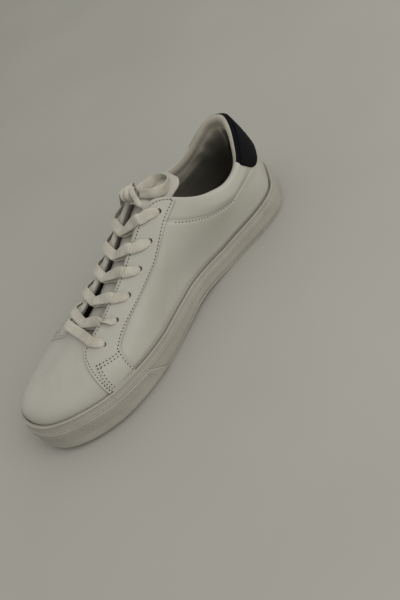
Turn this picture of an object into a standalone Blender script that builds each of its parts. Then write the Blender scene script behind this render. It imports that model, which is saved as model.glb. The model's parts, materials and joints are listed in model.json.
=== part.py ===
"""Low-top court sneaker, left shoe, as separate solids.

The shoe stands on the plane z = 0. The toe faces -Y and the outer side faces +X. Everything is
in metres. "Bearing" is an angle round the shoe: 0 at the heel, 90 at the outer waist, 180 at the
toe and 270 at the inner waist. "Rise" runs up the upper's wall, from 0 at the sole to 1 at the rim.
"""

import math
from collections import namedtuple

import bmesh
import bpy
import numpy as np
from mathutils import Matrix, Vector

# ---------------------------------------------------------------- driving sizes
LENGTH = 0.292
FIT_GAP = 0.0003

TREAD_HEIGHT = 0.0028
CORE_HEIGHT = 0.012
FOXING_THICKNESS = 0.0033
TREAD_MARGIN = 0.0005
RIDGE_HEIGHT = 0.0011
RIDGE_PROUD = 0.0005
STRIP_HEIGHT = 0.0062
TOE_LEAN = 0.09
TOE_LEAN_END = 0.36
STRIP_SET_BACK = 0.0007
BUMPER_THICKNESS = 0.0014
BUMPER_BEARINGS = (111.5, 246.0)
BUMPER_END_SLANT = 5.0
BUMPER_SLANT_FADE = 16.0
BUMPER_GAP = 0.0005
LUG_DEPTH = 0.0015
LUG_GAP = 0.0042
LUG_PITCH = 0.0128
LUG_SLANT = 0.0975
LUG_FIELDS = ((0.028, 0.110), (0.196, 0.272))
LUG_MARGIN = 0.009

INSOLE_THICKNESS = 0.0035
INSOLE_INSET = 0.0062

WALL = 0.0018
COLLAR_PAD = 0.0050
COLLAR_BULGE = 0.0018
LAP_STEP = 0.0010
LAP_FADE = 0.05
VAMP_SEAMS = (126.0, 234.5)
SEAM_HALF = 0.35
SEAM_SWEEP = 5.0
SEAM_REACH = 14.0
OVERLAY_THICKNESS = 0.0011
EYELET_RADIUS = 0.0019
EYELET_SIDES = 8
PEG_DEPTH = 0.012
FIRST_EYELET = 0.0861
EYELET_PITCH = 0.0196
EYELET_RISES = (0.730, 0.775, 0.790, 0.800, 0.810, 0.905)

LACE_WIDTH = 0.0080
LACE_THICKNESS = 0.0012
LACE_CORD = 0.0030

RING_STEPS = 72
UPPER_STEPS = 80
CUTTER_REACH = 0.02

# ---------------------------------------------------------------- section tables
Plan = namedtuple("Plan", "from_toe outer inner")
SOLE_PLAN = (
    Plan(0.010, 0.0104, -0.0164),
    Plan(0.030, 0.0214, -0.0246),
    Plan(0.070, 0.0322, -0.0332),
    Plan(0.120, 0.0406, -0.0400),
    Plan(0.200, 0.0487, -0.0470),
    Plan(0.300, 0.0498, -0.0484),
    Plan(0.380, 0.0472, -0.0446),
    Plan(0.480, 0.0400, -0.0388),
    Plan(0.600, 0.0330, -0.0342),
    Plan(0.720, 0.0334, -0.0340),
    Plan(0.840, 0.0366, -0.0358),
    Plan(0.920, 0.0326, -0.0328),
    Plan(0.965, 0.0190, -0.0252),
    Plan(0.990, 0.0086, -0.0156),
)
TOE_TIP_X = -0.0045
HEEL_TIP_X = -0.0030

Side = namedtuple("Side", "from_toe ground height")
SOLE_SIDE = (
    Side(0.00, 0.0036, 0.0306),
    Side(0.10, 0.0014, 0.0302),
    Side(0.20, 0.0006, 0.0280),
    Side(0.28, 0.0000, 0.0260),
    Side(0.42, 0.0000, 0.0217),
    Side(0.56, 0.0042, 0.0182),
    Side(0.70, 0.0000, 0.0190),
    Side(0.88, 0.0000, 0.0206),
    Side(1.00, 0.0000, 0.0224),
)

# One row for each section of the upper: where its rim lies, the lean of its foot from level, how far
# the foot runs straight, the fall of its rim from level and how far that runs straight.
Section = namedtuple("Section", "bearing x from_toe z lean low fall high")
UPPER_SECTIONS = (
    Section(0, 0.0000, 0.2825, 0.0800, 84, 0.36, 77, 0.36),
    Section(20, 0.0140, 0.2765, 0.0766, 85, 0.36, 77, 0.36),
    Section(36, 0.0250, 0.2650, 0.0680, 85, 0.36, 77, 0.36),
    Section(50, 0.0318, 0.2521, 0.0602, 86, 0.36, 78, 0.36),
    Section(62, 0.0345, 0.2350, 0.0588, 88, 0.36, 78, 0.36),
    Section(71, 0.0348, 0.2185, 0.0668, 91, 0.36, 74, 0.36),
    Section(77, 0.0325, 0.2072, 0.0762, 93, 0.38, 66, 0.38),
    Section(82, 0.0280, 0.1990, 0.0842, 94, 0.40, 56, 0.40),
    Section(87, 0.0187, 0.1868, 0.0934, 95, 0.42, 48, 0.42),
    Section(93, 0.0154, 0.1665, 0.0846, 97, 0.42, 45, 0.42),
    Section(101, 0.0158, 0.1360, 0.0684, 99, 0.42, 42, 0.42),
    Section(110, 0.0166, 0.1055, 0.0570, 100, 0.42, 38, 0.42),
    Section(119, 0.0176, 0.0890, 0.0531, 100, 0.40, 34, 0.42),
    Section(127, 0.0160, 0.0822, 0.0514, 100, 0.38, 25, 0.44),
    Section(145, 0.0090, 0.0794, 0.0508, 99, 0.28, 18, 0.48),
    Section(180, 0.0000, 0.0788, 0.0507, 98, 0.26, 14, 0.50),
    Section(215, -0.0080, 0.0792, 0.0508, 98, 0.28, 22, 0.48),
    Section(233, -0.0122, 0.0816, 0.0508, 98, 0.38, 40, 0.38),
    Section(241, -0.0128, 0.0878, 0.0516, 98, 0.40, 50, 0.36),
    Section(250, -0.0117, 0.1050, 0.0556, 98, 0.42, 48, 0.36),
    Section(259, -0.0107, 0.1360, 0.0667, 97, 0.42, 52, 0.36),
    Section(267, -0.0104, 0.1665, 0.0813, 95, 0.42, 55, 0.36),
    Section(273, -0.0120, 0.1868, 0.0876, 94, 0.42, 58, 0.36),
    Section(278, -0.0220, 0.1990, 0.0824, 93, 0.40, 62, 0.36),
    Section(283, -0.0300, 0.2072, 0.0765, 91, 0.38, 68, 0.36),
    Section(289, -0.0330, 0.2185, 0.0672, 89, 0.36, 74, 0.36),
    Section(298, -0.0330, 0.2350, 0.0604, 87, 0.36, 78, 0.36),
    Section(310, -0.0308, 0.2521, 0.0618, 85, 0.36, 78, 0.36),
    Section(324, -0.0256, 0.2665, 0.0700, 84, 0.36, 77, 0.36),
    Section(340, -0.0156, 0.2772, 0.0778, 84, 0.36, 77, 0.36),
)
SOFTEN_PLAN = 2.0
SOFTEN_UPPER = 2.0
SIDE_SOFTEN = 10

SHADES = {
    "rubber": ((0.66, 0.65, 0.61, 1), 0.55),
    "leather": ((0.72, 0.71, 0.68, 1), 0.42),
    "lining": ((0.55, 0.53, 0.48, 1), 0.90),
    "heel cloth": ((0.008, 0.009, 0.013, 1), 0.85),
    "lace": ((0.74, 0.73, 0.69, 1), 0.80),
}

# ---------------------------------------------------------------- curves round and along the shoe
DENSE_BEARINGS = np.arange(0.0, 360.0, 0.5)
DENSE_LENGTHS = np.linspace(0.0, 1.0, 401)


def blurred(rows, spread):
    """Closed rows of samples, averaged over a Gaussian of the given spread in samples."""
    waves = np.fft.rfftfreq(len(rows))[:, None]
    kept = np.exp(-2 * (math.pi * spread * waves) ** 2)
    return np.fft.irfft(np.fft.rfft(rows, axis=0) * kept, len(rows), axis=0)


def closed_curve(bearings, values, soften):
    """Smooth closed curve through rows of values, the first at bearing 0, as a function of bearing."""
    knots = np.asarray(bearings, float)
    rows = np.asarray(values, float).reshape(len(knots), -1)
    spans = np.diff(np.append(knots, knots[0] + 360))
    slopes = (np.roll(rows, -1, 0) - np.roll(rows, 1, 0)) / (spans + np.roll(spans, 1))[:, None]
    low = np.searchsorted(knots, DENSE_BEARINGS, side="right") - 1
    high = (low + 1) % len(knots)
    span = spans[low][:, None]
    part = (DENSE_BEARINGS - knots[low])[:, None] / span
    samples = (
        rows[low] * (1 + 2 * part) * (1 - part) ** 2
        + slopes[low] * span * part * (1 - part) ** 2
        + rows[high] * part**2 * (3 - 2 * part)
        + slopes[high] * span * part**2 * (part - 1)
    )
    samples = blurred(samples, soften / DENSE_BEARINGS[1])

    def at(bearing):
        columns = [np.interp(bearing, DENSE_BEARINGS, column, period=360) for column in samples.T]
        return np.stack(columns, -1)

    return at


def bearing_of(from_toe):
    """Bearing on the outer side of a station, given as a share of the length from the toe."""
    return math.degrees(math.acos(2 * from_toe - 1))


def sole_plan_curve():
    from_heel = sorted(SOLE_PLAN, key=lambda row: -row.from_toe)
    bearings = [0.0] + [bearing_of(row.from_toe) for row in from_heel]
    widths = [HEEL_TIP_X] + [row.outer for row in from_heel]
    bearings += [180.0] + [360 - bearing_of(row.from_toe) for row in reversed(from_heel)]
    widths += [TOE_TIP_X] + [row.inner for row in reversed(from_heel)]
    return closed_curve(bearings, widths, SOFTEN_PLAN)


SOLE_X = sole_plan_curve()
UPPER_ROWS = closed_curve(
    [row.bearing for row in UPPER_SECTIONS], [row[1:] for row in UPPER_SECTIONS], SOFTEN_UPPER
)


def side_curve(column):
    """A column of SOLE_SIDE, softened, as a function of the world Y of a point."""
    stations = [row.from_toe for row in SOLE_SIDE]
    samples = np.interp(DENSE_LENGTHS, stations, [getattr(row, column) for row in SOLE_SIDE])
    weights = np.hanning(2 * SIDE_SOFTEN + 1)
    samples = np.pad(samples, SIDE_SOFTEN, mode="edge")
    samples = np.convolve(samples, weights / weights.sum(), mode="valid")
    return lambda y: np.interp(y / LENGTH + 0.5, DENSE_LENGTHS, samples)


SOFT_GROUND = side_curve("ground")
SIDE_HEIGHT = side_curve("height")
FLAT_BELOW = 0.0001


def ground(y):
    """Height of the tread above the floor: flat at heel and forefoot, raised at the arch and the toe."""
    return np.maximum(0.0, SOFT_GROUND(y) - FLAT_BELOW)


def smooth_step(value):
    value = np.clip(value, 0.0, 1.0)
    return value * value * (3 - 2 * value)


def sole_edge(bearing, inset=0.0):
    """Plan point (x, y) of the sole's outline, moved inwards by inset, and the outward normal."""
    bearing = np.asarray(bearing, float)

    def place(angle):
        return np.stack([SOLE_X(angle)[..., 0], edge_y(angle)], -1)

    run = place(bearing + 0.5) - place(bearing - 0.5)
    normal = np.stack([-run[..., 1], run[..., 0]], -1)
    normal /= np.linalg.norm(normal, axis=-1, keepdims=True)
    return place(bearing) - normal * np.asarray(inset)[..., None], normal


def lean_in(y, height):
    """How far the sidewall has leant inwards at a height: it leans over the toe and stands at the back."""
    return TOE_LEAN * (1 - smooth_step((y / LENGTH + 0.5) / TOE_LEAN_END)) * height


def edge_y(bearing):
    return LENGTH * np.cos(np.radians(bearing)) / 2


def sole_point(bearing, inset, height):
    """Point at a height above the tread's own level, on the outline moved inwards by inset."""
    plan, _ = sole_edge(bearing, inset + lean_in(edge_y(bearing), height))
    return np.concatenate([plan, (ground(plan[..., 1]) + height)[..., None]], -1)


# ---------------------------------------------------------------- the upper's own surface
FOOT_INSET = FOXING_THICKNESS + 2 * FIT_GAP
FOOT_RISE = 0.0003


def unit(vectors):
    return vectors / np.linalg.norm(vectors, axis=-1, keepdims=True)


def bare_skin(bearing, rise):
    """The last's surface with the leather on it: a Bezier curve up the wall at each bearing."""
    bearing, rise = np.broadcast_arrays(np.asarray(bearing, float), np.asarray(rise, float))
    x, from_toe, z, lean, low, fall, high = np.moveaxis(UPPER_ROWS(bearing), -1, 0)
    _, outward = sole_edge(bearing)
    foot = sole_point(bearing, FOOT_INSET, SIDE_HEIGHT(edge_y(bearing)) + FOOT_RISE)
    rim = np.stack([x, from_toe - LENGTH / 2, z], -1)
    ahead, behind = UPPER_ROWS(bearing + 1.0), UPPER_ROWS(bearing - 1.0)
    run = (ahead - behind)[..., :2]
    away = unit(np.stack([-run[..., 1], run[..., 0]], -1))
    lean, fall = np.radians(lean)[..., None], np.radians(fall)[..., None]
    reach = np.linalg.norm(rim - foot, axis=-1, keepdims=True)
    up = np.concatenate([outward * np.cos(lean), np.sin(lean)], -1)
    down = np.concatenate([away * np.cos(fall), -np.sin(fall)], -1)
    low_handle = foot + up * reach * low[..., None]
    high_handle = rim + down * reach * high[..., None]
    up_to, left = rise[..., None], 1 - rise[..., None]
    ends = foot * left**3 + rim * up_to**3
    return ends + 3 * low_handle * up_to * left**2 + 3 * high_handle * up_to**2 * left


def skin_normal(bearing, rise):
    rise = np.clip(rise, 0.01, 0.99)
    along = bare_skin(np.asarray(bearing) + 0.5, rise) - bare_skin(np.asarray(bearing) - 0.5, rise)
    upward = bare_skin(bearing, rise + 0.01) - bare_skin(bearing, rise - 0.01)
    return unit(np.cross(upward, along))


def off_heel(bearing):
    """Angle from the heel's middle, to either side."""
    return np.abs((np.asarray(bearing) + 180) % 360 - 180)


def collar_share(bearing):
    """1 round the padded collar, 0 along the throat and the vamp."""
    return 1 - smooth_step((off_heel(bearing) - 66) / 16)


def swept(bearing, rise):
    """Bearing that a column of points has at a rise: beside the seams they lean towards the toe."""
    outer, inner = (
        np.clip(1 - np.abs(bearing % 360 - seam) / SEAM_REACH, 0, 1) for seam in VAMP_SEAMS
    )
    return bearing + SEAM_SWEEP * rise * (outer - inner)


def lap_step(bearing, rise):
    """Height of the quarters above the vamp that they lap over, fading out at the sole."""
    outer, inner = VAMP_SEAMS
    sweep = SEAM_SWEEP * rise
    off = np.maximum(outer + sweep - bearing, bearing - inner + sweep) / SEAM_HALF
    return LAP_STEP * np.clip((off + 1) / 2, 0, 1) * np.clip(rise / LAP_FADE, 0, 1)


def skin(bearing, rise, lift=0.0):
    """Outer surface of the upper with its lap and its padded collar, raised by lift."""
    bearing, rise = np.broadcast_arrays(np.asarray(bearing, float), np.asarray(rise, float))
    padded = collar_share(bearing) * smooth_step((off_heel(bearing) - 12) / 26)
    swell = COLLAR_BULGE * padded * np.sin(math.pi * np.clip((rise - 0.62) / 0.40, 0, 1)) ** 2
    raised = swell + lap_step(bearing, rise) + lift
    return bare_skin(bearing, rise) + skin_normal(bearing, rise) * raised[..., None]


def wall_depth(bearing, rise):
    """Thickness of the wall, with the quarter's lap and the foam of the collar in it."""
    foam = COLLAR_PAD * collar_share(bearing) * smooth_step((rise - 0.45) / 0.5)
    return WALL + lap_step(bearing, rise) + foam


# ---------------------------------------------------------------- Blender helpers
def clear_scene():
    for obj in list(bpy.data.objects):
        bpy.data.objects.remove(obj, do_unlink=True)


def new_collection(name, shown):
    collection = bpy.data.collections.new(name)
    bpy.context.scene.collection.children.link(collection)
    collection.hide_render = not shown
    return collection


def finish_of(shade, part):
    """Material of one part, named for it."""
    material = bpy.data.materials.new(f"{part} {shade}")
    colour, roughness = SHADES[shade]
    material.use_nodes = True
    shader = material.node_tree.nodes["Principled BSDF"]
    shader.inputs["Base Color"].default_value = colour
    shader.inputs["Roughness"].default_value = roughness
    shader.inputs["Metallic"].default_value = 0.0
    return material


def add_object(name, data, collection, shade):
    obj = bpy.data.objects.new(name, data)
    collection.objects.link(obj)
    data.materials.append(finish_of(shade, name))
    return obj


def mesh_from(name, points, faces):
    """Mesh with merged poles, outward faces and smooth shading between its sharp edges."""
    mesh = bpy.data.meshes.new(name)
    mesh.from_pydata([tuple(point) for point in points], [], faces)
    shape = bmesh.new()
    shape.from_mesh(mesh)
    bmesh.ops.remove_doubles(shape, verts=shape.verts, dist=1e-6)
    bmesh.ops.dissolve_degenerate(shape, edges=shape.edges, dist=1e-6)
    bmesh.ops.recalc_face_normals(shape, faces=shape.faces)
    shape.to_mesh(mesh)
    shape.free()
    mesh.shade_smooth()
    mesh.set_sharp_from_angle(angle=math.radians(35))
    return mesh


def loft(name, rings, collection, shade, closed):
    """Solid through rings of equally many points. An open row of rings gets a cap at each end."""
    rings = np.asarray(rings, float)
    count, size = rings.shape[:2]
    faces = []
    for ring in range(count if closed else count - 1):
        here, there = ring * size, (ring + 1) % count * size
        faces += [
            (here + corner, here + (corner + 1) % size, there + (corner + 1) % size, there + corner)
            for corner in range(size)
        ]
    if not closed:
        for start in (0, (count - 1) * size):
            faces += [
                (start + corner, start + corner + 1, start + size - 2 - corner, start + size - 1 - corner)
                for corner in range(size // 2 - 1)
            ]
    return add_object(name, mesh_from(name, rings.reshape(-1, 3), faces), collection, shade)


def slab(name, below, above, collection, shade):
    """Solid between two grids of equal size, closed round their edges."""
    rows = [np.concatenate([low, high[::-1]]) for low, high in zip(below, above)]
    return loft(name, rows, collection, shade, closed=False)


# ---------------------------------------------------------------- sole
def ring_bearings():
    return np.arange(RING_STEPS) * 360.0 / RING_STEPS


SPINE_X = 0.0005
SPINE_FROM_ENDS = (0.045, 0.036)


def spine_plan(bearing):
    """Plan point on the sole's middle line, level with a point of its edge."""
    toe, heel = SPINE_FROM_ENDS
    y = np.clip(edge_y(bearing), toe - LENGTH / 2, LENGTH / 2 - heel)
    return np.stack([np.full_like(y, SPINE_X), y], -1)


def inner_point(bearing, inset, share, height):
    """Point between the sole's edge, at share 1, and its middle line, at share 0."""
    leant = inset + lean_in(edge_y(bearing), height)
    plan = spine_plan(bearing) * (1 - share) + sole_edge(bearing, leant)[0] * share
    return np.concatenate([plan, (ground(plan[..., 1]) + height)[..., None]], -1)


def disc(name, profile, collection, shade):
    """Solid whose half section runs from the middle line below, round the edge, to the line above."""
    bearing = ring_bearings()
    columns = [inner_point(bearing, inset, share, height) for inset, share, height in profile]
    rings = np.stack(columns, 1)
    count, size = rings.shape[:2]
    faces = []
    for ring in range(count):
        here, there = ring * size, (ring + 1) % count * size
        faces += [(here + k, here + k + 1, there + k + 1, there + k) for k in range(size - 1)]
    return add_object(name, mesh_from(name, rings.reshape(-1, 3), faces), collection, shade)


def lug_grooves(collection):
    """Slanted bars below the sole, joined into one cutter, which leave the tread's main lugs."""
    boxes = bmesh.new()
    for start, end in LUG_FIELDS:
        for number in range(int((end - start) / LUG_PITCH) + 1):
            from_toe = start + number * LUG_PITCH
            bearing = bearing_of(from_toe / LENGTH)
            outer = sole_edge(bearing, LUG_MARGIN)[0][0]
            inner = sole_edge(360 - bearing, LUG_MARGIN)[0][0]
            level = float(ground(from_toe - LENGTH / 2)) + LUG_DEPTH
            for corner in bmesh.ops.create_cube(boxes, size=1.0)["verts"]:
                x = corner.co.x * (outer - inner)
                corner.co.y = corner.co.y * LUG_GAP + x * LUG_SLANT + from_toe - LENGTH / 2
                corner.co.x = x + (outer + inner) / 2
                corner.co.z = level + (corner.co.z - 0.5) * CUTTER_REACH
    mesh = bpy.data.meshes.new("tread_grooves")
    boxes.to_mesh(mesh)
    boxes.free()
    cutter = add_object("tread_grooves", mesh, collection, "rubber")
    cutter.hide_render = True
    cutter.display_type = "WIRE"
    return cutter


def cut(target, cutter):
    modifier = target.modifiers.new("cut_" + cutter.name, "BOOLEAN")
    modifier.operation = "DIFFERENCE"
    modifier.solver = "EXACT"
    modifier.object = cutter


def merge_flats(target):
    modifier = target.modifiers.new("merge_flats", "DECIMATE")
    modifier.decimate_type = "DISSOLVE"
    modifier.angle_limit = math.radians(0.2)


def build_outsole(parts, cutters):
    core_inset = FOXING_THICKNESS + FIT_GAP
    profile = (
        (TREAD_MARGIN, 0.0, 0.0),
        (TREAD_MARGIN, 0.5, 0.0),
        (TREAD_MARGIN + 0.0008, 1.0, 0.0),
        (TREAD_MARGIN, 1.0, 0.0007),
        (TREAD_MARGIN, 1.0, TREAD_HEIGHT),
        (core_inset, 1.0, TREAD_HEIGHT),
        (core_inset, 1.0, CORE_HEIGHT),
        (core_inset, 0.5, CORE_HEIGHT),
        (core_inset, 0.0, CORE_HEIGHT),
    )
    outsole = disc("outsole", profile, parts, "rubber")
    cut(outsole, lug_grooves(cutters))
    merge_flats(outsole)


def build_insole(parts):
    low = CORE_HEIGHT + FIT_GAP
    high = low + INSOLE_THICKNESS
    profile = (
        (INSOLE_INSET, 0.0, low),
        (INSOLE_INSET, 1.0, low),
        (INSOLE_INSET, 1.0, high + 0.0008),
        (INSOLE_INSET + 0.004, 1.0, high),
        (INSOLE_INSET, 0.0, high),
    )
    disc("insole", profile, parts, "lining")


def band_top(y):
    return SIDE_HEIGHT(y) - STRIP_HEIGHT


def sidewall_ring(bearing, profile):
    """Section of the sidewall: rows of (inset, share of the band's top, share of the height, extra)."""
    y = edge_y(bearing)
    points = []
    for inset, band, full, extra in profile:
        points.append(sole_point(bearing, inset, band * band_top(y) + full * SIDE_HEIGHT(y) + extra))
    return np.stack(points, -2)


def build_foxing(parts):
    base = TREAD_HEIGHT + FIT_GAP
    band = (
        (FOXING_THICKNESS, 0, 0, base),
        (0.0004, 0, 0, base),
        (0.0, 0, 0, base + 0.0006),
        (0.0, 1, 0, -RIDGE_HEIGHT - 0.0007),
        (-RIDGE_PROUD, 1, 0, -RIDGE_HEIGHT),
        (-RIDGE_PROUD, 1, 0, -0.0002),
        (FOXING_THICKNESS, 1, 0, 0.0),
    )
    strip = (
        (FOXING_THICKNESS, 1, 0, FIT_GAP),
        (STRIP_SET_BACK, 1, 0, FIT_GAP),
        (STRIP_SET_BACK, 0, 1, -0.0016),
        (STRIP_SET_BACK + 0.0009, 0, 1, -0.0002),
        (FOXING_THICKNESS, 0, 1, -0.0004),
    )
    for name, profile in (("foxing_band", band), ("foxing_strip", strip)):
        loft(name, sidewall_ring(ring_bearings(), profile), parts, "rubber", closed=True)


def build_toe_bumper(parts):
    """Second layer of rubber over the band, from ball to ball, whose ends slant back at the foot."""
    start, end = BUMPER_BEARINGS
    bearings = ring_bearings()
    bearings = bearings[(bearings > start + 1) & (bearings < end - 1)]
    bearings = np.concatenate([[start], bearings, [end]])
    fading = [np.clip(1 - gap / BUMPER_SLANT_FADE, 0, 1) for gap in (bearings - start, end - bearings)]
    slant = BUMPER_END_SLANT * (fading[0] - fading[1])
    inside, outside = -BUMPER_GAP, -BUMPER_GAP - BUMPER_THICKNESS
    profile = (
        (inside, 0, TREAD_HEIGHT + FIT_GAP),
        (inside, 1, -RIDGE_HEIGHT - 0.0012),
        (outside + 0.0004, 1, -RIDGE_HEIGHT - 0.0012),
        (outside, 1, -RIDGE_HEIGHT - 0.0017),
        (outside, 0, TREAD_HEIGHT + FIT_GAP + 0.0006),
        (outside + 0.0004, 0, TREAD_HEIGHT + FIT_GAP),
    )
    columns = []
    for inset, top, extra in profile:
        bearing = bearings - slant * (1 - top)
        columns.append(sole_point(bearing, inset, top * band_top(edge_y(bearing)) + extra))
    loft("toe_bumper", np.stack(columns, 1), parts, "rubber", closed=False)


# ---------------------------------------------------------------- upper
OUTER_RISES = (0.0, 0.05, 0.14, 0.26, 0.39, 0.52, 0.64, 0.75, 0.85, 0.94, 1.0)
INNER_RISES = (1.0, 0.88, 0.70, 0.48, 0.24, 0.0)


def upper_bearings():
    """Even bearings with a close pair at each seam where the quarter laps over the vamp."""
    even = np.arange(UPPER_STEPS) * 360.0 / UPPER_STEPS
    for seam in VAMP_SEAMS:
        even = even[np.abs(even - seam) > 4 * SEAM_HALF]
        even = np.append(even, (seam - SEAM_HALF, seam + SEAM_HALF))
    return np.sort(even)


def skirt(bearing, point):
    """The wall's foot, down inside the foxing and as upright as it, from a point at its top."""
    below = point.copy()
    below[..., 2] = ground(point[..., 1]) + CORE_HEIGHT + FIT_GAP
    _, outward = sole_edge(bearing)
    below[..., :2] += outward * lean_in(edge_y(bearing), point[..., 2] - below[..., 2])[..., None]
    return below


def build_upper(parts):
    bearing = upper_bearings()
    outside = [skin(swept(bearing, rise), rise) for rise in OUTER_RISES]
    inside = []
    for rise in INNER_RISES:
        column = swept(bearing, rise)
        inside.append(skin(column, rise, -wall_depth(column, rise)))
    middle = (outside[-1] + inside[0]) / 2
    across = outside[-1] - middle
    rim = swept(bearing, 1.0)
    upward = unit(bare_skin(rim, 1.0) - bare_skin(rim, 0.97))
    radius = np.linalg.norm(across, axis=-1, keepdims=True)
    crest = [
        middle + across * math.cos(angle) + upward * radius * math.sin(angle)
        for angle in np.radians((50, 130))
    ]
    feet = [skirt(bearing, points) for points in (outside[0], inside[-1])]
    columns = feet[:1] + outside + crest + inside + feet[1:]
    return loft("upper", np.stack(columns, 1), parts, "leather", closed=True)


def overlay(name, bearings, low, high, steps, parts, shade, gap=FIT_GAP):
    """Piece that follows the upper between two curves of rise given for each bearing."""
    shares = np.linspace(0, 1, steps)
    rise = low[:, None] + (high - low)[:, None] * shares
    bearings = swept(bearings[:, None], rise)
    return slab(
        name,
        skin(bearings, rise, gap),
        skin(bearings, rise, gap + OVERLAY_THICKNESS),
        parts,
        shade,
    )


Edge = namedtuple("Edge", "bearing rise")
EYESTAY_REAR = (
    Edge(82.0, 0.94),
    Edge(85.2, 0.80),
    Edge(88.0, 0.71),
    Edge(92.5, 0.63),
    Edge(101.0, 0.61),
    Edge(108.5, 0.56),
    Edge(113.5, 0.46),
    Edge(125.0, 0.61),
)
EYESTAY_TOP = 0.985
PATCH_BEARINGS = (113.5, 124.5)
PATCH_LOW = 0.05
PATCH_GAP = 0.03
SECTION_STEP = 360.0 / UPPER_STEPS
EYESTAY_SPAN = (18.25 * SECTION_STEP, 27.8 * SECTION_STEP)
EYESTAY_GAP = 0.0004
HEEL_TAB = (Edge(0.0, 0.49), Edge(16.0, 0.46), Edge(28.0, 0.48), Edge(36.0, 0.58), Edge(45.0, 0.88))
HEEL_TAB_SPAN = 10 * SECTION_STEP
HEEL_TAB_GAP = 0.0008
HEEL_TAB_TOP = 0.975


def bearings_between(start, end):
    """The upper's own bearings in a range, and the range's ends."""
    own = upper_bearings()
    own = np.sort(np.concatenate([own - 360, own]))
    own = own[(own > start + 0.8) & (own < end - 0.8)]
    return np.concatenate([[start], own, [end]])


def build_overlays(parts):
    rear = np.array(EYESTAY_REAR)
    bearings = bearings_between(*EYESTAY_SPAN)
    low = np.interp(bearings, rear[:, 0], rear[:, 1])
    patch = bearings_between(*PATCH_BEARINGS)
    for side, sign in (("outer", 1), ("inner", -1)):
        top = np.full_like(bearings, EYESTAY_TOP)
        overlay(f"eyestay_{side}", sign * bearings, low, top, 6, parts, "leather", EYESTAY_GAP)
        foot = np.full_like(patch, PATCH_LOW)
        head = np.interp(patch, rear[:, 0], rear[:, 1]) - PATCH_GAP
        overlay(f"patch_{side}", sign * patch, foot, head, 6, parts, "leather")
    tab = np.array(HEEL_TAB)
    bearings = bearings_between(-HEEL_TAB_SPAN, HEEL_TAB_SPAN)
    low = np.interp(np.abs(bearings), tab[:, 0], tab[:, 1])
    top = np.full_like(low, HEEL_TAB_TOP)
    overlay("heel_tab", bearings, low, top, 5, parts, "heel cloth", HEEL_TAB_GAP)


# ---------------------------------------------------------------- tongue
Tongue = namedtuple("Tongue", "from_toe crown half thickness")
TONGUE = (
    Tongue(0.0640, 0.0414, 0.0140, 0.0016),
    Tongue(0.0720, 0.0434, 0.0150, 0.0018),
    Tongue(0.0800, 0.0458, 0.0160, 0.0020),
    Tongue(0.1055, 0.0530, 0.0165, 0.0024),
    Tongue(0.1360, 0.0640, 0.0165, 0.0030),
    Tongue(0.1665, 0.0785, 0.0165, 0.0036),
    Tongue(0.1875, 0.0868, 0.0170, 0.0042),
    Tongue(0.2000, 0.0885, 0.0172, 0.0044),
    Tongue(0.2110, 0.0878, 0.0155, 0.0040),
    Tongue(0.2165, 0.0866, 0.0110, 0.0030),
)
TONGUE_BEND = 0.022
TONGUE_X = 0.002
TONGUE_EDGE_THINNING = 0.5
TONGUE_ACROSS = 9
TONGUE_STATIONS = 15


def tongue_height(from_toe, x):
    """Top of the tongue at a station and a distance across."""
    table = np.array(TONGUE)
    crown = np.interp(from_toe, table[:, 0], table[:, 1])
    return crown - TONGUE_BEND + np.sqrt(TONGUE_BEND**2 - (x - TONGUE_X) ** 2)


def build_tongue(parts):
    """Arched padded strip from under the vamp to above the collar."""
    table = np.array(TONGUE)
    stations = np.linspace(table[0, 0], table[-1, 0], TONGUE_STATIONS)[:, None]
    half, thickness = (np.interp(stations, table[:, 0], column) for column in table.T[2:])
    share = np.linspace(-1, 1, TONGUE_ACROSS)
    across = half * share
    x = across + TONGUE_X
    y = stations - LENGTH / 2 + 0 * across
    above = np.stack([x, y, tongue_height(stations, x)], -1)
    depth = thickness * (1 - TONGUE_EDGE_THINNING * share**4)
    lean = across / TONGUE_BEND
    below = above - np.stack([lean * depth, 0 * depth, np.sqrt(1 - lean**2) * depth], -1)
    slab("tongue", below, above, parts, "lining")


# ---------------------------------------------------------------- eyelets
def side_bearing(from_toe, rise, side):
    """Bearing on the outer side (1) or the inner side (-1) at which a rise passes a station."""
    scan = np.linspace(76.0, 128.0, 105)
    scan = scan if side > 0 else 360 - scan
    return float(np.interp(LENGTH / 2 - from_toe, -skin(scan, rise)[:, 1], scan))


def eyelet_seat(row, side):
    """Bearing and rise of an eyelet, row 0 being nearest the toe."""
    return side_bearing(FIRST_EYELET + row * EYELET_PITCH, EYELET_RISES[row], side), EYELET_RISES[row]


def eyelet_cutter(collection):
    """Short prisms square to the eyestays, one through each eyelet, joined into one cutter."""
    pegs = bmesh.new()
    seats = [eyelet_seat(row, side) for side in (1, -1) for row in range(len(EYELET_RISES))]
    for bearing, rise in seats:
        peg = bmesh.ops.create_cone(
            pegs,
            cap_ends=True,
            segments=EYELET_SIDES,
            radius1=EYELET_RADIUS,
            radius2=EYELET_RADIUS,
            depth=PEG_DEPTH,
        )["verts"]
        turn = Vector(skin_normal(bearing, rise)).to_track_quat("Z", "Y").to_matrix().to_4x4()
        place = Matrix.Translation(skin(bearing, rise)) @ turn
        bmesh.ops.transform(pegs, matrix=place, verts=peg)
    mesh = bpy.data.meshes.new("eyelet_pegs")
    pegs.to_mesh(mesh)
    pegs.free()
    cutter = add_object("eyelet_pegs", mesh, collection, "leather")
    cutter.hide_render = True
    cutter.display_type = "WIRE"
    return cutter


def punch_eyelets(cutters):
    pegs = eyelet_cutter(cutters)
    for name in ("upper", "eyestay_outer", "eyestay_inner"):
        cut(bpy.data.objects[name], pegs)


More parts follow.
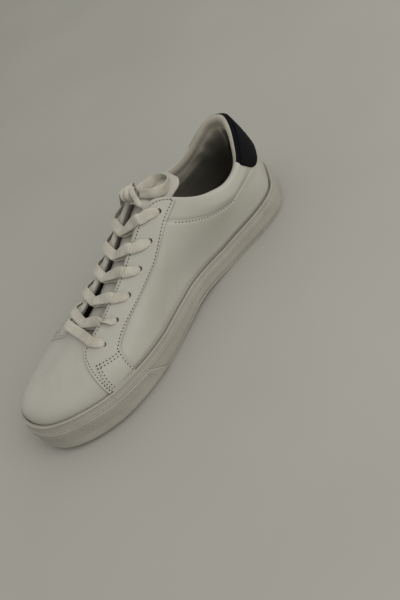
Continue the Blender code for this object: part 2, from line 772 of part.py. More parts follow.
# ---------------------------------------------------------------- lace
LACE_LIFT = 2 * FIT_GAP + OVERLAY_THICKNESS + LACE_THICKNESS / 2
LACE_STEPS = 2
LACE_END_WIDTH = 0.0048
LACE_END_DROP = 0.012
LACE_END_LIFT = 0.0004
RIM_CLEARANCE = 0.0022
RIM_TURN = 0.7
LACE_ARCH = {1: 0.0010, -1: 0.0032}
START_BEYOND = {1: 0.0015, -1: 0.0045}
START_LIFT = {1: 0.0036, -1: 0.0033}
CROSS_LIFT = 0.0034
CROSS_APART = 0.0005
BAR_AHEAD = 0.0048
BAR_LIFT = 0.0073
GAP_REACH = {1: 0.0040, -1: 0.0034}
Stop = namedtuple("Stop", "point normal width")

# How far nearer the toe than its eyelets each pair of strands meets the opening's two edges, and
# where the two cross on the tongue.
Crossing = namedtuple("Crossing", "outer_edge inner_edge ahead x")
CROSSINGS = (
    Crossing(0.0090, 0.0140, 0.0168, -0.0020),
    Crossing(0.0100, 0.0160, 0.0183, -0.0034),
    Crossing(0.0105, 0.0170, 0.0193, -0.0036),
    Crossing(0.0140, 0.0190, 0.0215, -0.0010),
    Crossing(0.0145, 0.0210, 0.0240, -0.0020),
)


# The lace that comes up from below both eyestays and arches under the knot, as its distance from
# the toe, place across and lift above the tongue.
Arch = namedtuple("Arch", "from_toe x lift")
TOP_BAR = (
    Arch(0.1835, -0.0087, 0.0026),
    Arch(0.1833, -0.0046, 0.0046),
    Arch(0.1836, 0.0004, 0.0047),
    Arch(0.1841, 0.0070, 0.0038),
    Arch(0.1842, 0.0138, 0.0030),
)


def smooth_run(rows, steps):
    """Open Catmull-Rom run through rows of numbers."""
    rows = np.asarray(rows, float)
    padded = np.concatenate([[2 * rows[0] - rows[1]], rows, [2 * rows[-1] - rows[-2]]])
    samples = []
    for before, start, end, after in zip(padded, padded[1:], padded[2:], padded[3:]):
        for t in np.arange(steps) / steps:
            samples.append(
                start
                + (end - before) * t / 2
                + (2 * before - 5 * start + 4 * end - after) * t**2 / 2
                + (3 * start - before - 3 * end + after) * t**3 / 2
            )
    return np.array(samples + [rows[-1]])


def ribbon(name, stops, collection):
    """Flat band through stops, each with its own width and facing its normal."""
    rows = smooth_run([[*stop.point, *stop.normal, stop.width] for stop in stops], LACE_STEPS)
    centre, width = rows[:, :3], rows[:, 6:7]
    along = unit(np.gradient(centre, axis=0))
    across = unit(np.cross(rows[:, 3:6], along))
    facing = np.cross(along, across)
    side, up = across * width / 2, facing * LACE_THICKNESS / 2
    rings = np.stack([centre - side - up, centre + side - up, centre + side + up, centre - side + up], 1)
    return loft(name, rings, collection, "lace", closed=False)


def over_eyelet(row, side, ahead):
    """Stops from an eyelet, along the eyestay and over its edge, which it meets nearer the toe."""
    bearing, rise = eyelet_seat(row, side)
    station = FIRST_EYELET + row * EYELET_PITCH
    arch = LACE_ARCH[side]
    end = skin(bearing, rise - LACE_END_DROP, LACE_LIFT + LACE_END_LIFT)
    stops = [Stop(end, skin_normal(bearing, rise), LACE_END_WIDTH)]
    for share in (0.35, 0.75):
        height = rise + (1 - rise) * share
        here = side_bearing(station - ahead * share, height, side)
        point = skin(here, height, LACE_LIFT + arch * share)
        stops.append(Stop(point, skin_normal(here, height), LACE_WIDTH))
    edge = side_bearing(station - ahead, 1.0, side)
    normal = skin_normal(edge, 1.0)
    upward = unit(bare_skin(edge, 1.0) - bare_skin(edge, 0.97))
    point = skin(edge, 1.0, LACE_LIFT + arch / 2) + upward * RIM_CLEARANCE
    stops.append(Stop(point, unit(normal + RIM_TURN * upward), LACE_WIDTH))
    return stops


def on_tongue(from_toe, x, lift):
    """Stop a little above the tongue, facing as the tongue does there."""
    lean = (x - TONGUE_X) / TONGUE_BEND
    point = np.array([x, from_toe - LENGTH / 2, tongue_height(from_toe, x) + lift])
    return Stop(point, unit(np.array([lean, 0.0, 1.0])), LACE_WIDTH)


def lace_strand(name, row, side, collection):
    """From the gap beside the tongue on one side, across, and over to the eyelet on the other."""
    station = FIRST_EYELET + row * EYELET_PITCH
    crossing = CROSSINGS[row - 1]
    edge = crossing.outer_edge if side > 0 else crossing.inner_edge
    start = station - START_BEYOND[side] - (crossing.ahead if side > 0 else crossing.outer_edge)
    gap_x = bare_skin(side_bearing(start, 1.0, -side), 1.0)[0] + side * GAP_REACH[side]
    stops = [
        on_tongue(start, gap_x, START_LIFT[side]),
        on_tongue(station - crossing.ahead, crossing.x, CROSS_LIFT + CROSS_APART * side),
    ]
    if side < 0:
        middle = (start + station - crossing.ahead) / 2
        stops.insert(1, on_tongue(middle, (gap_x + crossing.x) / 2, CROSS_LIFT))
    return ribbon(name, stops + over_eyelet(row, side, edge)[::-1], collection)


def build_lacing(parts, cutters):
    bar = over_eyelet(0, 1, BAR_AHEAD) + [on_tongue(FIRST_EYELET - BAR_AHEAD, TONGUE_X, BAR_LIFT)]
    ribbon("lace_bar_1", bar + over_eyelet(0, -1, BAR_AHEAD)[::-1], parts)
    ribbon("lace_bar_top", [on_tongue(*arch) for arch in TOP_BAR], parts)
    for row in range(1, len(EYELET_RISES)):
        crossing = lace_strand(f"lace_cross_{row + 1}", row, 1, parts)
        other = lace_strand(f"lace_strand_{row + 1}", row, -1, cutters)
        other.hide_render = True
        joint = crossing.modifiers.new("join_strands", "BOOLEAN")
        joint.operation = "UNION"
        joint.solver = "EXACT"
        joint.object = other


# Routes of the free lace, as (x, distance from the toe, z).
KNOT_ROUTE = ((-0.0068, 0.1806, 0.0962), (-0.0026, 0.1834, 0.0960), (0.0016, 0.1862, 0.0957))
KNOT_RADIUS = 0.0054
OUTER_LOOP = (
    (0.0022, 0.1922, 0.0942),
    (0.0020, 0.1980, 0.0928),
    (0.0030, 0.2050, 0.0912),
    (0.0070, 0.2100, 0.0893),
    (0.0120, 0.2095, 0.0876),
    (0.0152, 0.2040, 0.0872),
    (0.0146, 0.1975, 0.0890),
    (0.0115, 0.1920, 0.0918),
    (0.0078, 0.1884, 0.0938),
)
OUTER_TAIL = (
    (0.0035, 0.1845, 0.0997),
    (0.0080, 0.1824, 0.0992),
    (0.0140, 0.1799, 0.0986),
    (0.0199, 0.1779, 0.0974),
)
INNER_LOOP = (
    (-0.0089, 0.1856, 0.0956),
    (-0.0150, 0.1905, 0.0942),
    (-0.0258, 0.1950, 0.0880),
    (-0.0352, 0.1944, 0.0718),
    (-0.0384, 0.1850, 0.0555),
    (-0.0358, 0.1745, 0.0580),
    (-0.0318, 0.1785, 0.0700),
    (-0.0250, 0.1840, 0.0848),
    (-0.0172, 0.1840, 0.0938),
    (-0.0108, 0.1808, 0.0964),
)
CORD_SPACING = 0.0072
KNOT_SWELL = (0.45, 0.85, 1.0, 1.0, 0.85, 0.45)


def cord(name, route, radius, swell, parts):
    """Tube along a route given from the toe, with its radius scaled by swell at each point."""
    fine = smooth_run([[x, from_toe - LENGTH / 2, z] for x, from_toe, z in route], 12)
    run = np.concatenate([[0], np.cumsum(np.linalg.norm(np.diff(fine, axis=0), axis=1))])
    count = max(len(swell), int(round(run[-1] / CORD_SPACING)) + 1)
    places = np.linspace(0, run[-1], count)
    curve = bpy.data.curves.new(name, "CURVE")
    curve.dimensions = "3D"
    curve.bevel_depth = radius
    curve.bevel_resolution = 2
    curve.use_fill_caps = True
    spline = curve.splines.new("POLY")
    spline.points.add(count - 1)
    sizes = np.interp(np.linspace(0, 1, count), np.linspace(0, 1, len(swell)), swell)
    for point, place, size in zip(spline.points, places, sizes):
        point.co = (*(float(np.interp(place, run, column)) for column in fine.T), 1)
        point.radius = size
    add_object(name, curve, parts, "lace")


def build_bow(parts):
    cord("lace_knot", KNOT_ROUTE, KNOT_RADIUS, KNOT_SWELL, parts)
    for name, route in (
        ("lace_loop_outer", OUTER_LOOP),
        ("lace_tail_outer", OUTER_TAIL),
        ("lace_loop_inner", INNER_LOOP),
    ):
        cord(name, route, LACE_CORD / 2, (1.0, 1.0), parts)


def main():
    clear_scene()
    parts = new_collection("sneaker", shown=True)
    cutters = new_collection("cutters", shown=False)
    build_outsole(parts, cutters)
    build_insole(parts)
    build_foxing(parts)
    build_toe_bumper(parts)
    build_upper(parts)
    build_overlays(parts)
    build_tongue(parts)
    punch_eyelets(cutters)
    build_lacing(parts, cutters)
    build_bow(parts)


main()
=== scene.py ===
import json
import math

import bmesh
import bpy
import numpy as np
from mathutils import Matrix, Vector
from mathutils.bvhtree import BVHTree

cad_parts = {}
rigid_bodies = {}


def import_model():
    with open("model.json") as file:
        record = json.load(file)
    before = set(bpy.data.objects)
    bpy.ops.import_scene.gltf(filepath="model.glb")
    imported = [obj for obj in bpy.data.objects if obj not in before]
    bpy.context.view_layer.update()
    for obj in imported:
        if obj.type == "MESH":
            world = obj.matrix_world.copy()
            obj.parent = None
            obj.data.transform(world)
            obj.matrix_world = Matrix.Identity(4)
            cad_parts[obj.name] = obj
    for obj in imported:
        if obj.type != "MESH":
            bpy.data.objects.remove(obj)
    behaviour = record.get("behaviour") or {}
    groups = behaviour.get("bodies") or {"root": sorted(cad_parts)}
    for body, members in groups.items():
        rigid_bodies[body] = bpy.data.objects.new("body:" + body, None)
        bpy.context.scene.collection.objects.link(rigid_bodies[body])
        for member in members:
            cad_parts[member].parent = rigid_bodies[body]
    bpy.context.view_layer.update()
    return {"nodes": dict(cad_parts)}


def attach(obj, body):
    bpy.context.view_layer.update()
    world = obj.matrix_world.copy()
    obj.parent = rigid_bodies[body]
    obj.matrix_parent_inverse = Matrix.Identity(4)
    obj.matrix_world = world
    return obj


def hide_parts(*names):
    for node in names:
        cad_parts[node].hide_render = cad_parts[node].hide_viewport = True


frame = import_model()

# A left low-top court sneaker. Bearing is an angle round the shoe: 0 heel, 90 outer waist, 180 toe,
# 270 inner waist. Rise runs up the upper's wall, from 0 at the sole to 1 at the rim. Sizes in metres.


def addObject(name, data):
    made = bpy.data.objects.new(name, data)
    bpy.context.scene.collection.objects.link(made)
    return made


def meshFrom(name, shape):
    mesh = bpy.data.meshes.new(name)
    shape.to_mesh(mesh)
    shape.free()
    return mesh


# camera: 36 mm lens close to the shoe, rolled so that the toe points down and to the left
cameraSetup = {
    "azimuth": 76.7,
    "elevation": 42.5,
    "roll": -41.9,
    "distance": 0.440,
    "target": (0.059, 0.009, 0.030),
    "lens": 35.9,
}


def placeCamera(setup):
    az, el, roll = (math.radians(setup[key]) for key in ("azimuth", "elevation", "roll"))
    back = Vector((math.sin(az) * math.cos(el), -math.cos(az) * math.cos(el), math.sin(el)))
    level = Vector((0, 0, 1)).cross(back).normalized()
    steep = back.cross(level)
    right = level * math.cos(roll) + steep * math.sin(roll)
    up = steep * math.cos(roll) - level * math.sin(roll)
    data = bpy.data.cameras.new("shoeCamera")
    data.lens = setup["lens"]
    data.clip_start = 0.01
    camera = addObject("shoeCamera", data)
    turn = Matrix((right, up, back)).transposed().to_4x4()
    camera.matrix_world = Matrix.Translation(Vector(setup["target"]) + back * setup["distance"]) @ turn
    bpy.context.scene.camera = camera


placeCamera(cameraSetup)
print("camera placed")

# the last: plan of the sole, its side, and the sections of the upper
lastShape = {
    "length": 0.292,
    "toeTipX": -0.0045,
    "heelTipX": -0.0030,
    "soften": 2.0,
    "sideSoften": 10,
    "toeLean": 0.09,
    "toeLeanEnd": 0.36,
    "settle": 0.0001,
}
# from toe (share of the length), outer half width, inner half width
solePlan = (
    (0.010, 0.0104, -0.0164),
    (0.030, 0.0214, -0.0246),
    (0.070, 0.0322, -0.0332),
    (0.120, 0.0406, -0.0400),
    (0.200, 0.0487, -0.0470),
    (0.300, 0.0498, -0.0484),
    (0.380, 0.0472, -0.0446),
    (0.480, 0.0400, -0.0388),
    (0.600, 0.0330, -0.0342),
    (0.720, 0.0334, -0.0340),
    (0.840, 0.0366, -0.0358),
    (0.920, 0.0326, -0.0328),
    (0.965, 0.0190, -0.0252),
    (0.990, 0.0086, -0.0156),
)
# from toe, height of the tread above the floor, height of the sidewall above the tread
soleSide = (
    (0.00, 0.0036, 0.0306),
    (0.10, 0.0014, 0.0302),
    (0.20, 0.0006, 0.0280),
    (0.28, 0.0000, 0.0260),
    (0.42, 0.0000, 0.0217),
    (0.56, 0.0042, 0.0182),
    (0.70, 0.0000, 0.0190),
    (0.88, 0.0000, 0.0206),
    (1.00, 0.0000, 0.0224),
)
# bearing, rim x, rim from toe, rim z, lean of the foot, its straight run, fall of the rim, its run
upperSections = (
    (0, 0.0000, 0.2825, 0.0800, 84, 0.36, 77, 0.36),
    (20, 0.0140, 0.2765, 0.0766, 85, 0.36, 77, 0.36),
    (36, 0.0250, 0.2650, 0.0680, 85, 0.36, 77, 0.36),
    (50, 0.0318, 0.2521, 0.0602, 86, 0.36, 78, 0.36),
    (62, 0.0345, 0.2350, 0.0588, 88, 0.36, 78, 0.36),
    (71, 0.0348, 0.2185, 0.0668, 91, 0.36, 74, 0.36),
    (77, 0.0325, 0.2072, 0.0762, 93, 0.38, 66, 0.38),
    (82, 0.0280, 0.1990, 0.0842, 94, 0.40, 56, 0.40),
    (87, 0.0187, 0.1868, 0.0934, 95, 0.42, 48, 0.42),
    (93, 0.0154, 0.1665, 0.0846, 97, 0.42, 45, 0.42),
    (101, 0.0158, 0.1360, 0.0684, 99, 0.42, 42, 0.42),
    (110, 0.0166, 0.1055, 0.0570, 100, 0.42, 38, 0.42),
    (119, 0.0176, 0.0890, 0.0531, 100, 0.40, 34, 0.42),
    (127, 0.0160, 0.0822, 0.0514, 100, 0.38, 25, 0.44),
    (145, 0.0090, 0.0794, 0.0508, 99, 0.28, 18, 0.48),
    (180, 0.0000, 0.0788, 0.0507, 98, 0.26, 14, 0.50),
    (215, -0.0080, 0.0792, 0.0508, 98, 0.28, 22, 0.48),
    (233, -0.0122, 0.0816, 0.0508, 98, 0.38, 40, 0.38),
    (241, -0.0128, 0.0878, 0.0516, 98, 0.40, 50, 0.36),
    (250, -0.0117, 0.1050, 0.0556, 98, 0.42, 48, 0.36),
    (259, -0.0107, 0.1360, 0.0667, 97, 0.42, 52, 0.36),
    (267, -0.0104, 0.1665, 0.0813, 95, 0.42, 55, 0.36),
    (273, -0.0120, 0.1868, 0.0876, 94, 0.42, 58, 0.36),
    (278, -0.0220, 0.1990, 0.0824, 93, 0.40, 62, 0.36),
    (283, -0.0300, 0.2072, 0.0765, 91, 0.38, 68, 0.36),
    (289, -0.0330, 0.2185, 0.0672, 89, 0.36, 74, 0.36),
    (298, -0.0330, 0.2350, 0.0604, 87, 0.36, 78, 0.36),
    (310, -0.0308, 0.2521, 0.0618, 85, 0.36, 78, 0.36),
    (324, -0.0256, 0.2665, 0.0700, 84, 0.36, 77, 0.36),
    (340, -0.0156, 0.2772, 0.0778, 84, 0.36, 77, 0.36),
)

length = lastShape["length"]
fineBearings = np.arange(0.0, 360.0, 0.5)
fineLengths = np.linspace(0.0, 1.0, 401)


def closedCurve(rows, soften):
    # smooth closed curve through rows whose first column is a bearing, as a function of bearing
    table = np.asarray(rows, float)
    knots, values = table[:, 0], table[:, 1:]
    spans = np.diff(np.append(knots, knots[0] + 360))
    slopes = (np.roll(values, -1, 0) - np.roll(values, 1, 0)) / (spans + np.roll(spans, 1))[:, None]
    low = np.searchsorted(knots, fineBearings, side="right") - 1
    high = (low + 1) % len(knots)
    span = spans[low][:, None]
    t = (fineBearings - knots[low])[:, None] / span
    samples = (
        values[low] * (1 + 2 * t) * (1 - t) ** 2
        + slopes[low] * span * t * (1 - t) ** 2
        + values[high] * t**2 * (3 - 2 * t)
        + slopes[high] * span * t**2 * (t - 1)
    )
    waves = np.fft.rfftfreq(len(samples))[:, None]
    kept = np.exp(-2 * (math.pi * soften / 0.5 * waves) ** 2)
    samples = np.fft.irfft(np.fft.rfft(samples, axis=0) * kept, len(samples), axis=0)

    def at(bearing):
        columns = [np.interp(bearing, fineBearings, column, period=360) for column in samples.T]
        return np.stack(columns, -1)

    return at


def bearingOf(fromToe):
    return math.degrees(math.acos(2 * fromToe - 1))


def solePlanCurve():
    fromHeel = sorted(solePlan, key=lambda row: -row[0])
    rows = [(0.0, lastShape["heelTipX"])]
    rows += [(bearingOf(row[0]), row[1]) for row in fromHeel]
    rows += [(180.0, lastShape["toeTipX"])]
    rows += [(360 - bearingOf(row[0]), row[2]) for row in reversed(fromHeel)]
    return closedCurve(rows, lastShape["soften"])


def sideCurve(column):
    table = np.array(soleSide)
    samples = np.interp(fineLengths, table[:, 0], table[:, column])
    reach = lastShape["sideSoften"]
    weights = np.hanning(2 * reach + 1)
    samples = np.convolve(np.pad(samples, reach, mode="edge"), weights / weights.sum(), mode="valid")
    return lambda y: np.interp(y / length + 0.5, fineLengths, samples)


soleX = solePlanCurve()
sectionRows = closedCurve(upperSections, lastShape["soften"])
softGround = sideCurve(1)
sideHeight = sideCurve(2)


def ground(y):
    return np.maximum(0.0, softGround(y) - lastShape["settle"])


def smoothStep(value):
    value = np.clip(value, 0.0, 1.0)
    return value * value * (3 - 2 * value)


def unit(vectors):
    return vectors / np.linalg.norm(vectors, axis=-1, keepdims=True)


def bell(value):
    return np.exp(-(value**2))


def soleEdge(bearing, inset=0.0):
    # plan point on the sole's outline, moved inwards, and the outward normal
    bearing = np.asarray(bearing, float)

    def place(angle):
        return np.stack([soleX(angle)[..., 0], edgeY(angle)], -1)

    run = place(bearing + 0.5) - place(bearing - 0.5)
    normal = unit(np.stack([-run[..., 1], run[..., 0]], -1))
    return place(bearing) - normal * np.asarray(inset)[..., None], normal


def edgeY(bearing):
    return length * np.cos(np.radians(bearing)) / 2


def leanIn(y, height):
    # the sidewall leans in over the toe and stands upright at the back
    toward = smoothStep((y / length + 0.5) / lastShape["toeLeanEnd"])
    return lastShape["toeLean"] * (1 - toward) * height


def solePoint(bearing, inset, height):
    plan, _ = soleEdge(bearing, inset + leanIn(edgeY(bearing), height))
    return np.concatenate([plan, (ground(plan[..., 1]) + height)[..., None]], -1)


# the upper's surface, with its padded collar and its creases
upperForm = {
    "footInset": 0.0039,
    "footRise": 0.0003,
    "wall": 0.0018,
    "collarEnds": (66, 16),
    "collarPad": 0.0050,
    "foamFrom": 0.45,
    "foamRun": 0.5,
    "collarBulge": 0.0020,
    "bulgeRun": 0.55,
    "bulgeFall": 0.45,
    "stitchTrough": 0.0009,
    "troughWidth": 0.020,
    "lap": 0.0010,
    "lapBearings": (116.0, 124.0),
    "sweep": 5.0,
}
# bearing from the heel, rise of the stitches that close the collar's foam, how deep they pull
collarLine = (
    (30, 0.55, 0.0),
    (40, 0.63, 0.5),
    (48, 0.70, 0.6),
    (55, 0.75, 0.5),
    (61, 0.72, 0.9),
    (68, 0.725, 1.0),
    (74, 0.73, 1.0),
    (80, 0.76, 1.0),
    (85, 0.795, 1.0),
)
# metres to a degree of bearing and to a whole rise, for distances between creases
creaseScale = (0.0018, 0.060)
creaseEnds = (0.25, 0.22)  # a crease is whole this far from its middle, and then fades over this share
# creases and soft hollows: bearing and rise of both ends, depth (a ridge if negative) and half width
creases = (
    (150, 0.50, 172, 0.72, 0.00030, 0.0040),
    (158, 0.34, 186, 0.60, 0.00022, 0.0060),
    (196, 0.70, 218, 0.44, 0.00026, 0.0050),
    (143, 0.78, 160, 0.93, 0.00022, 0.0035),
    (200, 0.92, 219, 0.76, 0.00024, 0.0035),
    (96, 0.34, 108, 0.20, 0.00040, 0.0080),
    (92, 0.16, 104, 0.40, -0.00025, 0.0070),
    (254, 0.22, 264, 0.42, 0.00040, 0.0080),
    (58, 0.45, 78, 0.52, 0.00035, 0.0090),
    (282, 0.50, 304, 0.44, 0.00035, 0.0090),
    (36, 0.40, 50, 0.62, 0.00040, 0.0050),
)


def bareSkin(bearing, rise):
    bearing, rise = np.broadcast_arrays(np.asarray(bearing, float), np.asarray(rise, float))
    x, fromToe, z, lean, low, fall, high = np.moveaxis(sectionRows(bearing), -1, 0)
    _, outward = soleEdge(bearing)
    foot = solePoint(bearing, upperForm["footInset"], sideHeight(edgeY(bearing)) + upperForm["footRise"])
    rim = np.stack([x, fromToe - length / 2, z], -1)
    run = (sectionRows(bearing + 1.0) - sectionRows(bearing - 1.0))[..., :2]
    away = unit(np.stack([-run[..., 1], run[..., 0]], -1))
    lean, fall = np.radians(lean)[..., None], np.radians(fall)[..., None]
    reach = np.linalg.norm(rim - foot, axis=-1, keepdims=True)
    up = np.concatenate([outward * np.cos(lean), np.sin(lean)], -1)
    down = np.concatenate([away * np.cos(fall), -np.sin(fall)], -1)
    lowHandle = foot + up * reach * low[..., None]
    highHandle = rim + down * reach * high[..., None]
    t, s = rise[..., None], 1 - rise[..., None]
    return foot * s**3 + rim * t**3 + 3 * lowHandle * t * s**2 + 3 * highHandle * t**2 * s


def skinNormal(bearing, rise):
    rise = np.clip(rise, 0.01, 0.99)
    along = bareSkin(np.asarray(bearing) + 0.5, rise) - bareSkin(np.asarray(bearing) - 0.5, rise)
    upward = bareSkin(bearing, rise + 0.01) - bareSkin(bearing, rise - 0.01)
    return unit(np.cross(upward, along))


def offHeel(bearing):
    return np.abs((np.asarray(bearing) + 180) % 360 - 180)


def collarShare(bearing):
    start, run = upperForm["collarEnds"]
    return 1 - smoothStep((offHeel(bearing) - start) / run)


def creaseDepth(bearing, rise):
    # each crease is a soft trough along a short line, fading out at both ends
    depth = 0.0
    perDegree, perRise = creaseScale
    for startBearing, startRise, endBearing, endRise, deep, half in creases:
        across, upward = (endBearing - startBearing) * perDegree, (endRise - startRise) * perRise
        run = math.hypot(across, upward)
        x, y = (bearing - startBearing) * perDegree, (rise - startRise) * perRise
        share = (x * across + y * upward) / run**2
        away = (x * upward - y * across) / run
        ends = bell(np.clip(np.abs(share - 0.5) - creaseEnds[0], 0, None) / creaseEnds[1])
        depth = depth + deep * bell(away / half) * ends
    return depth


def relief(bearing, rise):
    # padded collar with the trough of its stitches, the quarter's lap over the vamp, and the creases
    line = np.array(collarLine)
    off = offHeel(bearing)
    seam = np.interp(off, line[:, 0], line[:, 1])
    pull = np.interp(off, line[:, 0], line[:, 2]) * (off < 86)
    above = np.clip((rise - seam) / (1.0 - seam), 0, 1)
    padded = collarShare(bearing) * smoothStep((off - 30) / 24)
    swell = smoothStep(above / upperForm["bulgeRun"]) * (1 - upperForm["bulgeFall"] * above**2)
    swell = upperForm["collarBulge"] * padded * swell
    trough = upperForm["stitchTrough"] * pull * bell((rise - seam) / upperForm["troughWidth"])
    start, end = upperForm["lapBearings"]
    sweep = upperForm["sweep"] * rise
    lap = upperForm["lap"] * smoothStep((end + sweep - off) / (end - start)) * np.clip(rise / 0.05, 0, 1)
    return swell - trough + lap - creaseDepth(np.asarray(bearing) % 360, rise)


def skin(bearing, rise, lift=0.0):
    bearing, rise = np.broadcast_arrays(np.asarray(bearing, float), np.asarray(rise, float))
    raised = relief(bearing, rise) + lift
    return bareSkin(bearing, rise) + skinNormal(bearing, rise) * raised[..., None]


# materials: each is a small tree of Blender's own texture nodes
def newMaterial(name, shown):
    material = bpy.data.materials.new(name)
    material.use_nodes = True
    tree = material.node_tree
    shader = tree.nodes["Principled BSDF"]
    for socket, value in shown.items():
        shader.inputs[socket].default_value = value
    return material, tree, shader


def feed(tree, socket, value):
    if isinstance(value, bpy.types.NodeSocket):
        tree.links.new(value, socket)
    else:
        socket.default_value = value


def node(tree, kind, settings=(), **values):
    # a node with its properties set and its sockets fed; in0, in1 and so on name sockets by number
    made = tree.nodes.new(kind)
    for key, value in dict(settings).items():
        setattr(made, key, value)
    for key, value in values.items():
        numbered = key.startswith("in") and key[2:].isdigit()
        feed(tree, made.inputs[int(key[2:]) if numbered else key], value)
    return made


def objectPlace(tree):
    return node(tree, "ShaderNodeTexCoord").outputs["Object"]


def noise(tree, place, scale, detail=2.0, roughness=0.5):
    made = node(tree, "ShaderNodeTexNoise", Vector=place, Scale=scale, Detail=detail, Roughness=roughness)
    return made.outputs["Fac"]


def reach(tree, value, low, high, newLow=0.0, newHigh=1.0):
    made = node(tree, "ShaderNodeMapRange", in0=value, in1=low, in2=high, in3=newLow, in4=newHigh)
    return made.outputs["Result"]


def maths(tree, operation, first, second=0.0, third=0.0):
    made = node(tree, "ShaderNodeMath", {"operation": operation}, in0=first, in1=second, in2=third)
    return made.outputs["Value"]


def blendColour(tree, amount, first, second):
    made = node(tree, "ShaderNodeMix", {"data_type": "RGBA", "blend_type": "MIX"}, in0=amount)
    for index, colour in ((6, first), (7, second)):
        feed(tree, made.inputs[index], (*colour, 1) if isinstance(colour, tuple) else colour)
    return made.outputs[2]


def mottled(tree, broad, look):
    return blendColour(tree, reach(tree, broad, 0.35, 0.7), look["colour"], look["deep"])


def dusted(tree, place, colour, look):
    # specks of dirt, let through in patches by a broader noise
    fine, wide = (
        reach(tree, noise(tree, place, scale, detail), low, high)
        for scale, detail, low, high in look["specks"]
    )
    dust = maths(tree, "MULTIPLY", maths(tree, "MULTIPLY", fine, wide), look["dust"])
    return blendColour(tree, dust, colour, look["dirt"])


def bump(tree, shader, heights):
    # rows of (height socket, strength, distance), stacked
    before = None
    for height, strength, distance in heights:
        made = node(tree, "ShaderNodeBump", Height=height, Strength=strength, Distance=distance)
        if before is not None:
            tree.links.new(before, made.inputs["Normal"])
        before = made.outputs["Normal"]
    tree.links.new(before, shader.inputs["Normal"])


leatherLook = {
    "colour": (0.425, 0.414, 0.366),
    "deep": (0.388, 0.376, 0.328),
    "dirt": (0.270, 0.250, 0.205),
    "specks": ((420, 1, 0.72, 0.80), (60, 2, 0.58, 0.68)),
    "dust": 0.5,
    "grainScale": 900,
    "roughness": (0.46, 0.60),
}


def leatherMaterial(name, look):
    material, tree, shader = newMaterial(name, {"Roughness": 0.5, "Specular IOR Level": 0.35})
    place = objectPlace(tree)
    soft = noise(tree, place, 90, 3, 0.6)
    colour = dusted(tree, place, mottled(tree, noise(tree, place, 22, 3), look), look)
    tree.links.new(colour, shader.inputs["Base Color"])
    low, high = look["roughness"]
    tree.links.new(reach(tree, soft, 0.3, 0.7, low, high), shader.inputs["Roughness"])
    edges = {"feature": "DISTANCE_TO_EDGE"}
    cells = node(tree, "ShaderNodeTexVoronoi", edges, Vector=place, Scale=look["grainScale"])
    pores = reach(tree, cells.outputs["Distance"], 0.0, 0.12)
    fine = noise(tree, place, 2600, 2)
    bump(tree, shader, ((soft, 0.10, 0.0004), (pores, 0.10, 0.00012), (fine, 0.10, 0.0001)))
    return material


rubberLook = {
    "colour": (0.370, 0.354, 0.308),
    "deep": (0.320, 0.304, 0.260),
    "dirt": (0.16, 0.14, 0.105),
    "specks": ((500, 1, 0.70, 0.76), (80, 2, 0.55, 0.65)),
    "dust": 0.7,
    # darkening toward the floor in patches: its strength and the height where it fades out
    "grime": 0.5,
    "grimeTop": 0.006,
}


def rubberMaterial(name, look):
    material, tree, shader = newMaterial(name, {"Roughness": 0.62, "Specular IOR Level": 0.3})
    place = objectPlace(tree)
    broad = noise(tree, place, 30, 4, 0.6)
    # darker toward the floor, in patches
    height = node(tree, "ShaderNodeSeparateXYZ", Vector=place).outputs["Z"]
    low = reach(tree, height, look["grimeTop"], 0.0, 0.0, look["grime"])
    grime = maths(tree, "MULTIPLY", low, reach(tree, noise(tree, place, 70, 5, 0.7), 0.35, 0.75))
    colour = blendColour(tree, grime, mottled(tree, broad, look), look["dirt"])
    tree.links.new(dusted(tree, place, colour, look), shader.inputs["Base Color"])
    tree.links.new(reach(tree, broad, 0.3, 0.7, 0.55, 0.72), shader.inputs["Roughness"])
    coarse, fine = noise(tree, place, 300, 3), noise(tree, place, 2200, 2)
    bump(tree, shader, ((coarse, 0.12, 0.0002), (fine, 0.12, 0.0001)))
    return material


clothLook = {
    "colour": (0.440, 0.412, 0.340),
    "deep": (0.330, 0.305, 0.245),
    # painted shade: the dark colour of the lining deep in the shoe, and the heights it fades in between
    "worn": (0.075, 0.068, 0.052),
    "wornFrom": 0.076,
    "wornTo": 0.050,
    "pitch": 0.0009,
}


def clothMaterial(name, look):
    # knitted lining: staggered small dots with a light nap
    shown = {"Roughness": 0.95, "Specular IOR Level": 0.1, "Sheen Weight": 0.25, "Sheen Roughness": 0.5}
    material, tree, shader = newMaterial(name, shown)
    place = objectPlace(tree)
    scale = 1 / look["pitch"]
    first = {"feature": "F1"}
    cells = node(tree, "ShaderNodeTexVoronoi", first, Vector=place, Scale=scale, Randomness=0.25)
    dots = reach(tree, cells.outputs["Distance"], 0.15, 0.6, 1.0, 0.0)
    broad = noise(tree, place, 60, 3)
    colour = blendColour(tree, reach(tree, broad, 0.3, 0.7), look["colour"], look["deep"])
    colour = blendColour(tree, maths(tree, "MULTIPLY", dots, 0.35), colour, look["deep"])
    # painted shade: the lining darkens toward the insole, deep in the shoe where shade falls
    height = node(tree, "ShaderNodeSeparateXYZ", Vector=place).outputs["Z"]
    ragged = maths(tree, "ADD", height, maths(tree, "MULTIPLY", broad, 0.012))
    worn = reach(tree, ragged, look["wornFrom"], look["wornTo"])
    colour = blendColour(tree, worn, colour, look["worn"])
    tree.links.new(colour, shader.inputs["Base Color"])
    bump(tree, shader, ((dots, 0.35, 0.0002), (noise(tree, place, 1800, 3), 0.2, 0.0001)))
    return material


